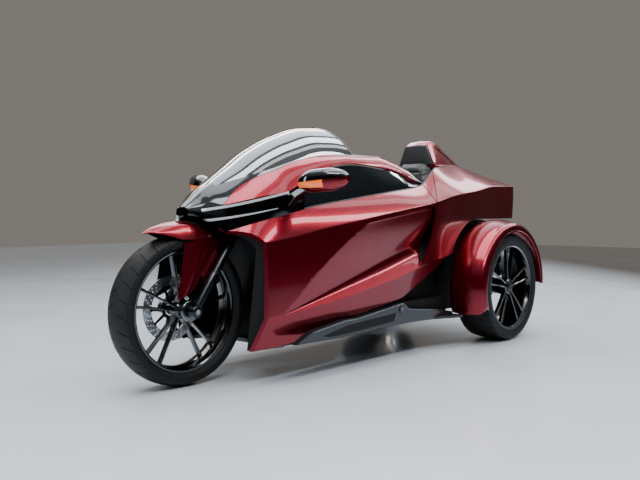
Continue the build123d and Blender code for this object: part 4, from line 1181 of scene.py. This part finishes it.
# %% [markdown]
# ## Wheels
# The wheels are cast in one piece: a barrel, a hub, and five pairs of thin spokes that spread towards the
# rim. The lip is machined after the powder coat, so it shows bare metal. A spoke is a loft of small rounded
# boxes, each a little narrower and more dished than the one before.
# %% Barrel and lip
def barrel(name, centre, radius, width):
    """Wheel barrel with stepped flanges, turned about the axle."""
    half = width / 2
    outer = [(half, 0), (half, -9), (half - 5, -15), (half - 18, -19), (half - 30, -24)]
    inner = [(half - 8, 0), (half - 8, -13), (half - 32, -18)]
    profile = [(-y, drop) for y, drop in outer] + [(0, -27)] + outer[::-1]
    profile += inner + [(0, -20)] + [(-y, drop) for y, drop in inner[::-1]]
    return lathe(name, [(y, radius + drop) for y, drop in profile], centre, 144)


def lip_ring(name, centre, y, radius, face):
    """Machined ring on a flange; face is the side that it looks to."""
    profile = [(y, radius - 1), (y + face * 0.8, radius - 1.6), (y + face * 0.8, radius - 6), (y, radius - 8)]
    return lathe(name, profile, centre, 144)


# %% Spokes and bolts
def spoke(centre, degrees, side, hub_radius, rim_radius, y_hub, y_rim, width):
    """One spoke of a pair, from the hub to the barrel."""
    at_hub, at_rim = math.radians(degrees + side * 15), math.radians(degrees + side * 9.5)
    start = Vector((math.cos(at_hub), 0, math.sin(at_hub))) * (hub_radius - 5)
    end = Vector((math.cos(at_rim), 0, math.sin(at_rim))) * (rim_radius - 21)
    along = (end - start).normalized()
    sideways = Vector((-along.z, 0, along.x))
    rings = []
    for k in range(9):
        t = k / 8
        half = width / 2 * (1.25 - 0.4 * math.sin(math.pi * min(1, t * 1.06)))
        low = y_hub[0] + (y_rim[0] - y_hub[0]) * t
        high = y_hub[1] + (y_rim[1] - y_hub[1]) * t
        middle = (low + high) / 2
        flat = half * 0.45
        box = [(-half, middle), (-half, high - 3), (-flat, high), (flat, high), (half, high - 3),
               (half, middle), (half, low + 3), (flat, low), (-flat, low), (-half, low + 3)]
        at = centre + start.lerp(end, t)
        rings.append([(at + sideways * x + across(y)) * MM for x, y in box])
    return loft("spoke", rings)


def on_circle(centre, radius, a, y=0):
    """Place on a circle round an axle, in millimetres; the angle runs from the front upwards."""
    return centre + Vector((radius * math.cos(a), y, radius * math.sin(a)))


def bolt_circle(centre, count, radius, ends, size):
    """Six-sided bolt heads on a circle, from one y to another."""
    turns = [2 * math.pi * (k + 0.5) / count for k in range(count)]
    return [bar("bolt", *(on_circle(centre, radius, a, y) for y in sorted(ends)), size, 6) for a in turns]


# %% Whole wheels
def wheel(name, body_name, node, centre, sizes, hub, spoke_y, width):
    """Dressed wheel; sizes are its tyre's, hub an outline of (y, radius), spoke_y the dish at hub and rim."""
    rim_radius, rim_width = sizes[2:4]
    parts = [barrel("barrel", centre, rim_radius, rim_width), lathe("hub", hub, centre, 64)]
    for pair in range(5):
        for side in (-1, 1):
            parts.append(spoke(centre, 72 * pair + 90, side, hub[2][1], rim_radius, *spoke_y, width))
    dress(rounded(joined(name, parts), 0.8), body_name, wheel_black, [node])
    lips = [lip_ring("lip", centre, face * rim_width / 2, rim_radius, face) for face in (-1, 1)]
    dress(joined(name + "_lip", lips), body_name, machined_lip)


FRONT_HUB = [
    (-88, 13), (-88, 22), (-80, 30), (-30, 34), (-22, 42), (22, 42), (30, 34), (80, 30), (88, 22), (88, 13)]
REAR_HUB = [(-40, 20.5), (-40, 50), (66, 52), (84, 50), (92, 42), (92, 20.5)]
REAR_CAP = [(92, 0.01), (99, 0.01), (100, 8), (98, 27), (95, 31), (92, 31)]
wheel("front_wheel_casting", "front_wheel_body", "front_wheel", FRONT_AXLE, FRONT_TYRE, FRONT_HUB,
      ((-20, 20), (-11, 13)), 14)
for side_name, sign in SIDES.items():
    hub_place, body_name = rear_places[side_name], f"rear_{side_name}_body"
    dish = sorted((sign * 60, sign * 90)), sorted((sign * 72, sign * 96))
    wheel(f"rear_wheel_casting_{side_name}", body_name, f"rear_wheel_{side_name}", hub_place, REAR_TYRE,
          [(sign * y, r) for y, r in REAR_HUB], dish, 13)
    cap = [lathe("cap", [(sign * y, r) for y, r in REAR_CAP], hub_place, 48)]
    cap += bolt_circle(hub_place, 5, 38, (sign * 86, sign * 97), 6.5)
    dress(rounded(joined(f"rear_hub_cap_{side_name}", cap), 0.6), body_name, fork_metal)

# %% [markdown]
# ## Brake
# The floating disc is a ground steel ring, drilled in a spiral so that the pads stay clean, on a dark
# carrier whose arms hold it by round bobbins. The holes are real holes, because the wheel behind shows
# through them.
# %% Drilled ring
DISC_INNER, DISC_OUTER = 112, 158
DISC_LOW, DISC_HIGH = -73, -68
ring = [(DISC_LOW, DISC_INNER), (DISC_LOW, DISC_OUTER - 1), (DISC_LOW + 0.7, DISC_OUTER),
        (DISC_HIGH - 0.7, DISC_OUTER), (DISC_HIGH, DISC_OUTER - 1), (DISC_HIGH, DISC_INNER)]
ring = lathe("front_disc_ring", ring, FRONT_AXLE, 120)
holes = []
for k in range(30):
    for row, radius in enumerate((121, 135, 149)):
        at = on_circle(FRONT_AXLE, radius, 2 * math.pi * (k + row * 0.34) / 30)
        holes.append(bar("hole", at + across(DISC_LOW - 5), at + across(DISC_HIGH + 5), 3.6, 10))
dress(cut(ring, joined("holes", holes)), "front_wheel_body", disc_steel, ["front_disc"])

# %% Carrier and bobbins
centre = [(DISC_LOW, 34.4), (DISC_LOW, 52), (DISC_HIGH, 52), (DISC_HIGH, 34.4)]
arms, bobbins = [lathe("centre", centre, FRONT_AXLE, 64)], []
for k in range(10):
    a = 2 * math.pi * k / 10
    out = Vector((math.cos(a), 0, math.sin(a)))
    turn = Vector((-out.z, 0, out.x))
    foot, tip = FRONT_AXLE + out * 50, FRONT_AXLE + out * 107
    shape = [foot + turn * 9, tip + turn * 5, tip - turn * 5, foot - turn * 9]
    faces = (DISC_LOW + 0.6, DISC_HIGH - 0.6)
    arms.append(loft("arm", [[(p + across(y)) * MM for p in shape] for y in faces]))
    at = FRONT_AXLE + out * DISC_INNER
    bobbins.append(bar("bobbin", at + across(DISC_LOW - 1.5), at + across(DISC_HIGH + 1.5), 7, 20))
dress(rounded(joined("front_disc_carrier", arms), 0.6), "front_wheel_body", wheel_black)
dress(rounded(joined("front_disc_bobbins", bobbins), 0.6), "front_wheel_body", fork_metal)

# %% [markdown]
# ## Fork
# The legs are turned tubes: a slim upper tube under a ribbed collar, and a slider that ends in a forged
# clamp round the axle. A turned bar with a short table of radii gives each ring and step.
# %% Legs and axle caps
RAKE = math.radians(35)
STEM_UP = Vector((-math.sin(RAKE), 0, math.cos(RAKE)))
STEM_FORWARD = Vector((math.cos(RAKE), 0, math.sin(RAKE)))
LEG_Y = 118
LEG_ROWS = [
    (24, 16), (30, 20), (60, 21.5), (150, 23.5), (196, 24), (204, 23), (206, 20.5), (212, 20.5), (214, 22),
    (220, 22), (222, 20), (228, 20), (230, 21.5), (236, 21.5), (238, 19), (660, 19)]
CLAMP = [(-25, 12.6), (-25, 26), (-21, 30), (18, 30), (22, 27), (22, 12.6)]
AXLE_CAP = [(21, 0.01), (23.5, 0.01), (23.8, 9), (23.2, 20), (22, 23), (21, 23)]
HUB_FLANGE = [(76, 33), (76, 48), (78, 50), (86, 50), (88, 48), (88, 23), (84, 23)]
legs, caps = [], []
for sign in SIDES.values():
    foot = FRONT_AXLE + across(sign * LEG_Y)
    legs.append(turned_bar("leg", foot, STEM_UP, LEG_ROWS))
    legs.append(lathe("clamp", [(sign * (LEG_Y + y), r) for y, r in CLAMP], FRONT_AXLE, 48))
    caps.append(lathe("cap", [(sign * (LEG_Y + y), r) for y, r in AXLE_CAP], FRONT_AXLE, 48))
    caps += bolt_circle(foot, 6, 26, (sign * 18, sign * 23.8), 2.2)
dress(rounded(joined("fork_leg_tubes", legs), 0.5), "steering_fork", fork_metal, ["fork_legs"])
dress(joined("axle_caps", caps), "steering_fork", fork_metal)
flange = lathe("front_hub_flange", HUB_FLANGE, FRONT_AXLE, 72)
dress(rounded(flange, 0.6), "front_wheel_body", machined_lip)

# %% Calliper pistons
CALLIPER_AT = FRONT_AXLE + STEM_UP * 138 - STEM_FORWARD * 60
PISTON = [(0, 17), (4.5, 17), (6, 15), (6, 9), (4, 8.5), (4, 0.01)]
pistons = []
for shift in (-24, 24):
    for face, outwards in ((-94, -1), (-50, 1)):
        at = CALLIPER_AT + STEM_UP * shift + across(face)
        pistons.append(turned_bar("piston", at, across(outwards), PISTON))
dress(joined("calliper_pistons", pistons), "steering_fork", fork_metal)

# %% [markdown]
# ## Mirrors
# The mirror housings are pods on a broad black fin. The shell is gloss black above and painted below, with
# a wide amber lens set into its front. The three are cut from one smooth loft, so the lens follows the
# pod's shape.
# %% Pods, lenses and stalks
# y; station and z of the middle; half length and half height
POD_SECTIONS = [
    (352, 462, 962, 15, 13), (372, 470, 966, 40, 38), (430, 488, 973, 56, 57), (500, 512, 978, 54, 56),
    (560, 536, 982, 38, 40), (590, 548, 984, 14, 16)]
GLASS_AT = place(548, 480, 0)
GLASS_FACING = (-1, -0.165, 0)


def pod_ring(y):
    """Section of the pod at a distance from the middle: an oval with full corners."""
    station, z, half_length, half_height = eased(POD_SECTIONS, y)
    ring = []
    for k in range(32):
        a = 2 * math.pi * k / 32
        c, s = math.cos(a), math.sin(a)
        out = half_length * (abs(c) ** 0.9) * (1 if c > 0 else -1)
        rise = half_height * (abs(s) ** 0.85) * (1 if s > 0 else -1)
        ring.append(place(station + out, y, z + rise))
    return ring


pod = loft("pod", [pod_ring(y) for y in even(352, 590, 7)])
pod = cut(pod, beyond(GLASS_AT, GLASS_FACING))
glass_zone = prism("glass_zone", [(400, 936), (400, 1018), (700, 1018), (700, 936)], 424, 562)
glass_zone = common(glass_zone, beyond(GLASS_AT + Vector((4 * MM, 0, 0)), GLASS_FACING))
glass = common(twin(pod), twin(glass_zone))
pod = cut(pod, glass_zone)
above_waist = beyond(place(480, 352, 970), (0.12, -0.06, 1))
shell = common(twin(pod), twin(above_waist))
belly = cut(pod, above_waist)
lens_zone = prism("lens_zone", [(350, 934), (350, 1010), (560, 1010), (560, 944)], 364, 500)
lens_zone = cut(lens_zone, beyond(place(462, 352, 0), (-1, -0.33, 0)))
lens = common(twin(belly), twin(lens_zone))
belly = cut(belly, lens_zone)

# %% Dress the mirrors
# y; then station and z of four corners
STALK = [
    (294, (432, 846), (432, 900), (528, 925), (528, 860)),
    (345, (440, 896), (440, 930), (515, 942), (515, 908)),
    (402, (448, 926), (448, 948), (506, 954), (506, 932))]
stalk = loft("mirror_fin_left", [[place(s, y, z) for s, z in corners] for y, *corners in STALK])
shell.name, belly.name, lens.name = "mirror_shell_left", "mirror_belly_left", "lens_left"
glass.name = "mirror_glass_left"
paired([polished(shell, 1.2)], "gloss_black", gloss_black, "mirror")
paired([polished(stalk, 3)], "gloss_black", gloss_black)
paired([polished(belly, 1.2)], "red_paint", candy_red)
for obj, slot, material, node in ((polished(lens, 0.8), "amber_lens", amber_lens, "turn_signals"),
                                  (glass, "mirror_silver", mirror_silver, "mirror_glasses")):
    pair = joined(obj.name.replace("_left", "_pair"), [mirrored(obj, "right"), obj])
    dress(pair, "chassis", material, [node])

# %% [markdown]
# ## Seat
# The seat is moulded foam under stitched leather. Foam swells between its seams, so a flat-sided block
# would look wrong. Each pad starts a little small, is remeshed evenly and inflated by the cloth solver
# until it fills its cover. The sewn channels come afterwards, as grooves pressed into the finished surface.
# %% Inflate and stitch
VOXEL = 7


def remeshed(obj, size):
    """Even mesh with faces of a size in millimetres."""
    remesh = obj.modifiers.new("even mesh", "REMESH")
    remesh.mode = "VOXEL"
    remesh.voxel_size = size * MM
    return bake(obj)


def plump(obj, swell):
    """Inflates a pad by the cloth solver; no point moves further than swell, in millimetres."""
    remeshed(obj, VOXEL)
    start = [v.co.copy() for v in obj.data.vertices]
    cloth = obj.modifiers.new("inflate", "CLOTH")
    cloth.settings.use_pressure = True
    cloth.settings.uniform_pressure_force = 4
    cloth.settings.effector_weights.gravity = 0
    cloth.settings.tension_stiffness = 20
    cloth.settings.compression_stiffness = 20
    scene = bpy.context.scene
    for frame_number in range(1, 21):
        scene.frame_set(frame_number)
    bake(obj)
    scene.frame_set(1)
    for vertex, origin in zip(obj.data.vertices, start):
        move = vertex.co - origin
        if move.length > swell * MM:
            vertex.co = origin + move.normalized() * swell * MM
    return shade(obj, math.radians(60))


# %% Seams and sections of a pad
def pressed(obj, distance_to_seam, depth, width):
    """Presses a sewn channel into the pad wherever a point is near the seam."""
    for vertex, normal in zip(obj.data.vertices, [v.normal.copy() for v in obj.data.vertices]):
        away = distance_to_seam(vertex.co / MM)
        vertex.co -= normal * depth * MM * math.exp(-(away / width) ** 2)
    return obj


def finer(obj):
    """One level of subdivision, applied."""
    level = obj.modifiers.new("finer", "SUBSURF")
    level.levels = level.render_levels = 1
    return shade(bake(obj), math.radians(60))


def upright(rows, shrink):
    """Pad through level sections; rows hold z, front and rear station, half width and corner cut."""
    rings = []
    for z, front, rear, half, corner in rows:
        front, rear, half = front + shrink, rear - shrink * 0.3, half - shrink
        rings.append([place(s, y, z) for s, y in (
            (front, half - corner), (front + corner * 0.3, half - corner * 0.3), (front + corner, half),
            (rear, half), (rear, -half), (front + corner, -half), (front + corner * 0.3, corner * 0.3 - half),
            (front, corner - half))])
    return rings


# %% Sections and seams of the seat
SEAT_REAR = REAR - 215
SEAT_FLOOR = 217
BACK_ROWS = [
    (474, SEAT_REAR - 190, SEAT_REAR - 90, 225, 40), (700, SEAT_REAR - 150, SEAT_REAR - 52, 215, 50),
    (920, SEAT_REAR - 108, SEAT_REAR - 22, 180, 50), (1060, SEAT_REAR - 86, SEAT_REAR - 10, 150, 50),
    (1118, SEAT_REAR - 76, SEAT_REAR - 8, 128, 45), (1150, SEAT_REAR - 64, SEAT_REAR - 18, 96, 30)]
CUSHION_ROWS = [
    (SEAT_FLOOR + 1, SEAT_REAR - 560, SEAT_REAR - 120, 225, 20),
    (360, SEAT_REAR - 590, SEAT_REAR - 130, 240, 40), (432, SEAT_REAR - 596, SEAT_REAR - 194, 236, 50),
    (458, SEAT_REAR - 560, SEAT_REAR - 212, 200, 50)]


def back_seams(point):
    """Distance to the channels of the seat back: two bolster lines and seven cross channels."""
    bolster_y = 128 * (0.62 + 0.38 * max(0, min(1, (1120 - point.z) / 600)))
    bolster = abs(abs(point.y) - bolster_y)
    if abs(point.y) >= bolster_y:
        return bolster
    return min(bolster, *(abs(point.z - z) for z in (560, 650, 740, 830, 920, 1005, 1082)))


def cushion_seams(point):
    """Distance to the channels of the cushion."""
    station = FRONT_AXLE.x - point.x
    bolster = abs(abs(point.y) - 150)
    if abs(point.y) >= 150 or point.z <= 400:
        return bolster
    return min(bolster, *(abs(station - (SEAT_REAR - 560 + 62 * k)) for k in range(1, 6)))


# %% Seat back and cushion
back = plump(loft("seat_back_pad", upright(BACK_ROWS, 6)), 9)
back = finer(pressed(back, back_seams, 5.5, 6.5))
dress(back, "chassis", seat_leather, ["seat_back"])
cushion = plump(loft("seat_cushion_pad", upright(CUSHION_ROWS, 6)), 9)
cushion = finer(pressed(cushion, cushion_seams, 6, 7))
dress(cushion, "chassis", seat_leather, ["seat_cushion"])

# %% [markdown]
# ### Headrest pad
# The pad on the hump is a thin trapezoid with one stitched border. The cloth solver would make it round, but
# this pad is firm and almost flat, so a formula bows its face a little and only the seam is pressed in.
# %% Headrest
PAD_FACE = hump_first - 0.3
PAD_FOOT, PAD_TOP = (136, 1132), (84, 1262)


def headrest_ring(station):
    """Trapezoid a little inside the hump's front face, smaller at the pad's front."""
    grow = -5 if station < PAD_FACE - 10 else 0
    (foot_y, foot_z), (top_y, top_z) = PAD_FOOT, PAD_TOP
    half = [(foot_y + grow, foot_z - grow), (top_y + grow * 0.7, top_z + grow), (0, top_z + 3 + grow)]
    return both_halves(half)


def pad_seam(point):
    """Distance to the stitched border of the headrest pad."""
    edge = PAD_FOOT[0] + (PAD_TOP[0] - PAD_FOOT[0]) * (point.z - PAD_FOOT[1]) / (PAD_TOP[1] + 3 - PAD_FOOT[1])
    return min(abs(abs(point.y) - (edge - 16)), abs(point.z - 1248), abs(point.z - 1150))


pad = remeshed(body("headrest_cushion", [PAD_FACE - 12, PAD_FACE - 9, PAD_FACE], headrest_ring), 3.2)
for vertex in pad.data.vertices:
    if vertex.co.x > place(PAD_FACE - 3, 0, 0).x:
        aside, up = vertex.co.y / MM / PAD_FOOT[0], (vertex.co.z / MM - 1198) / 67
        vertex.co.x += 3.5 * MM * max(0, 1 - aside ** 2) * max(0, 1 - up ** 2)
pressed(pad, pad_seam, 1.6, 2.5)
dress(shade(pad, math.radians(60)), "chassis", seat_leather, ["headrest_pad"])

# %% [markdown]
# ## Side rail, tail and frame
# The remaining nodes are machined, welded or moulded parts whose CAD shape is already right. They keep it,
# and get rounded edges, because a real edge is never perfectly sharp and only a rounded one catches a
# highlight.
# %% Round the carried-over nodes
KEPT_NODES = {
    "side_rail_left": 2.2, "side_rail_right": 2.2, "chassis_frame": 2.0, "belly_pan": 1.0,
    "front_skid": 1.0, "wheel_well_liner": 1.0, "steering_head": 1.5, "fork_yokes": 2.0,
    "front_caliper": 2.0, "front_axle": 0.8, "rear_axle": 2.0, "rear_frame": 1.5, "engine_block": 3.0,
    "fender_stay_left": 1.0, "fender_stay_right": 1.0, "tail_panel": 1.2, "tail_lamps": 1.5,
    "dash_panel": 2.0, "handlebar": 1.0, "cockpit_tub": 1.5}
for node, width in KEPT_NODES.items():
    rounded(frame["nodes"][node], width)

# %% [markdown]
# ### Rail details
# The rail is a folded alloy step under the door line, and a large bolt joins it to the frame. Its top edge
# carries a raised strip of bright machined metal, a painted highlight along the edge. A texture could draw
# the edge, but a raised strip catches the light along its whole length. A long recess in the rail's face is
# a thin black plate, painted shade.
# Behind the rail a moulded black strip closes the gap below the sill.
# %% Edge strips with a painted highlight, recess plate with painted shade, and pivot bolt
RAIL_Y = 414
TOP_EDGE = (
    [(495, 236), (734, 267), (836, 267)],
    [(842, 268), (REAR - 942, 310), (REAR - 888, 273), (REAR - 590, 240)],
)
# Outline of the recess, drawn as a thin black plate on the rail's face: painted shade, not a hollow.
RECESS_SHADE = [(560, 206), (760, 240), (REAR - 1010, 262), (REAR - 1030, 216), (760, 196), (620, 194)]
BOSS = [(0, 0.01), (0, 24), (5, 23), (5.5, 17), (3, 15), (3, 0.01)]
SILL_CLOSING = [
    (REAR - 900, 304), (REAR - 900, 262), (REAR - 640, 232), (REAR - 560, 214), (REAR - 452, 206),
    (REAR - 440, 218), (REAR - 437, 304)]
# Strips of bright metal along the rail's top edge: a painted highlight.
strips = []
for line in TOP_EDGE:
    for (s0, z0), (s1, z1) in zip(line, line[1:]):
        strip = [(s0, z0 - 7), (s0, z0 - 1.5), (s1, z1 - 1.5), (s1, z1 - 7)]
        strips.append(prism("strip", strip, RAIL_Y - 2, RAIL_Y + 1.6))
strips = joined("rail_edge_left", strips)
recess_shade = prism("rail_recess_left", RECESS_SHADE, RAIL_Y - 2, RAIL_Y + 0.8)
pivot = place(REAR - 959, 0, 274) / MM
bolt_head = bar("rail_bolt_left", pivot + across(RAIL_Y), pivot + across(RAIL_Y + 8), 11, 6)
boss = lathe("rail_pivot_left", [(RAIL_Y + y, r) for y, r in BOSS], pivot, 48)
sill_closing = prism("sill_closing_left", SILL_CLOSING, 336, 372)
for piece in (recess_shade, strips, boss, bolt_head, sill_closing):
    bake(rounded(piece, 0.6))
paired([strips, bolt_head], "disc_steel", machined_lip)
paired([recess_shade, sill_closing], "matte_black", matte_black)
paired([boss], "gloss_black", gloss_black)

# %% [markdown]
# ## Studio
# The vehicle stands on a plain pale floor under soft light. Lacquer shows only what it mirrors, so the
# lights matter most: long soft boxes hang above, in line with the body, and draw its streaks. A sky texture
# could light it as well, but it has no strips to mirror. The plain world is mid-grey behind the vehicle and
# dim where the flat sides mirror it, and far behind, the floor's colour is painted dark as painted shade.
# %% Floor
floor = solid("studio_floor", [(-14, -14, 0), (14, -14, 0), (14, 14, 0), (-14, 14, 0)], [(0, 1, 2, 3)])
floor_finish = finish("polished_resin_floor", "#C9CDD3", 0.22, ior=1.5, Coat_Weight=0.5, Coat_Roughness=0.08)
textured(floor_finish, NOISE, 900, ("#C3CCD6", "#D3DAE1"), (0.16, 0.3), Detail=3.0)
# Painted shade: the floor's colour fades to near black far behind the vehicle on its left, where the flat sides
# mirror it.
floor_tree = floor_finish.node_tree
at = add(floor_tree, "ShaderNodeTexCoord").outputs["Object"]
away = add(floor_tree, "ShaderNodeVectorMath", {"operation": "DOT_PRODUCT"}, n0=at, n1=(-0.743, 0.669, 0.0))
edge = add(floor_tree, "ShaderNodeMapRange", Value=away.outputs["Value"], From_Min=3.4, From_Max=4.8)
resin = floor_tree.nodes["Principled BSDF"].inputs["Base Color"]
mixed = add(floor_tree, "ShaderNodeMix", {"data_type": "RGBA"}, n0=edge.outputs[0],
            n6=resin.links[0].from_socket, n7=linear("#232326"))
floor_tree.links.new(mixed.outputs[2], resin)
floor.data.materials.append(floor_finish)
print("floor done")

# %% Soft boxes
# name; place; point it looks at; length, width; power in watts; colour
SOFT_BOXES = [
    ("ceiling_strip_1", (-2.6, 2.7, 4.2), (-2.6, 0.3, 0.6), 11.0, 0.5, 260, "#FFFFFF"),
    ("ceiling_strip_2", (-3.0, 1.45, 4.5), (-3.0, 0.4, 0.6), 12.0, 0.5, 60, "#FFFFFF"),
    ("ceiling_strip_3", (-3.0, 0.3, 4.6), (-3.0, 0.25, 0.6), 12.0, 1.0, 360, "#F6FAFF"),
    ("ceiling_strip_4", (-1.6, -1.5, 4.6), (-1.6, -0.3, 0.6), 8.0, 1.7, 150, "#E6F0FA"),
    ("ceiling_strip_5", (-1.6, -3.1, 4.6), (-1.6, -0.3, 0.6), 8.0, 0.7, 190, "#F2F7FF"),
    ("ceiling_strip_6", (-2.4, -5.0, 4.6), (-2.4, -0.3, 0.6), 9.0, 0.6, 150, "#FFF1DE"),
    ("front_window", (4.8, -1.8, 1.9), (0.6, 0.0, 0.8), 1.2, 2.2, 70, "#EAF2FF"),
    ("front_ceiling", (3.2, 2.4, 4.4), (0.4, 0.4, 0.4), 2.4, 1.2, 90, "#FFFFFF"),
]
for name, at, aim, length, width, power, colour in SOFT_BOXES:
    light = bpy.data.lights.new(name, "AREA")
    light.shape = "RECTANGLE"
    light.size, light.size_y = length, width
    light.energy = power
    light.color = linear(colour)[:3]
    holder = linked(name, light)
    holder.location = at
    holder.rotation_euler = (Vector(aim) - Vector(at)).to_track_quat("-Z", "Y").to_euler()
print("lights:", len(SOFT_BOXES))

# %% World
world = bpy.data.worlds.new("studio")
world.use_nodes = True
bpy.context.scene.world = world
sky_tree = world.node_tree
towards = add(sky_tree, "ShaderNodeTexCoord").outputs["Generated"]
behind = add(sky_tree, "ShaderNodeVectorMath", {"operation": "DOT_PRODUCT"}, n0=towards,
                n1=(-0.743, -0.669, 0.0))
backdrop = add(sky_tree, "ShaderNodeMapRange", Value=behind.outputs["Value"], From_Min=0.35, From_Max=0.8)
greys = add(sky_tree, "ShaderNodeValToRGB", Fac=backdrop.outputs[0])
greys.color_ramp.elements[0].color = linear("#1C1C1E")
greys.color_ramp.elements[1].color = linear("#8A857F")
split = add(sky_tree, "ShaderNodeSeparateXYZ", Vector=towards)
height = add(sky_tree, "ShaderNodeMapRange", Value=split.outputs["Z"], From_Min=0.3, From_Max=0.75)
sky = add(sky_tree, "ShaderNodeMix", {"data_type": "RGBA"}, n0=height.outputs[0], n6=greys.outputs["Color"],
           n7=linear("#D9DDE2"))
sky_tree.links.new(sky.outputs[2], sky_tree.nodes["Background"].inputs["Color"])
sky_tree.nodes["Background"].inputs["Strength"].default_value = 0.8
print("world:", world.name)

# %% [markdown]
# ## Camera
# The camera stands where the photograph was taken from: at chest height, ahead of the vehicle and to its
# left. A slightly long lens keeps the front wheel from swelling.
# %% Camera
camera = linked("photo_camera", bpy.data.cameras.new("photo_camera"))
camera.data.lens = 41.6
camera.data.sensor_width = 36
camera.location = (3.353, 2.845, 0.823)  # metres
azimuth, pitch = math.radians(-137.97), math.radians(-2.18)
aim = Vector((math.cos(azimuth) * math.cos(pitch), math.sin(azimuth) * math.cos(pitch), math.sin(pitch)))
camera.rotation_euler = aim.to_track_quat("-Z", "Y").to_euler()
bpy.context.scene.camera = camera
print("camera at", tuple(camera.location))
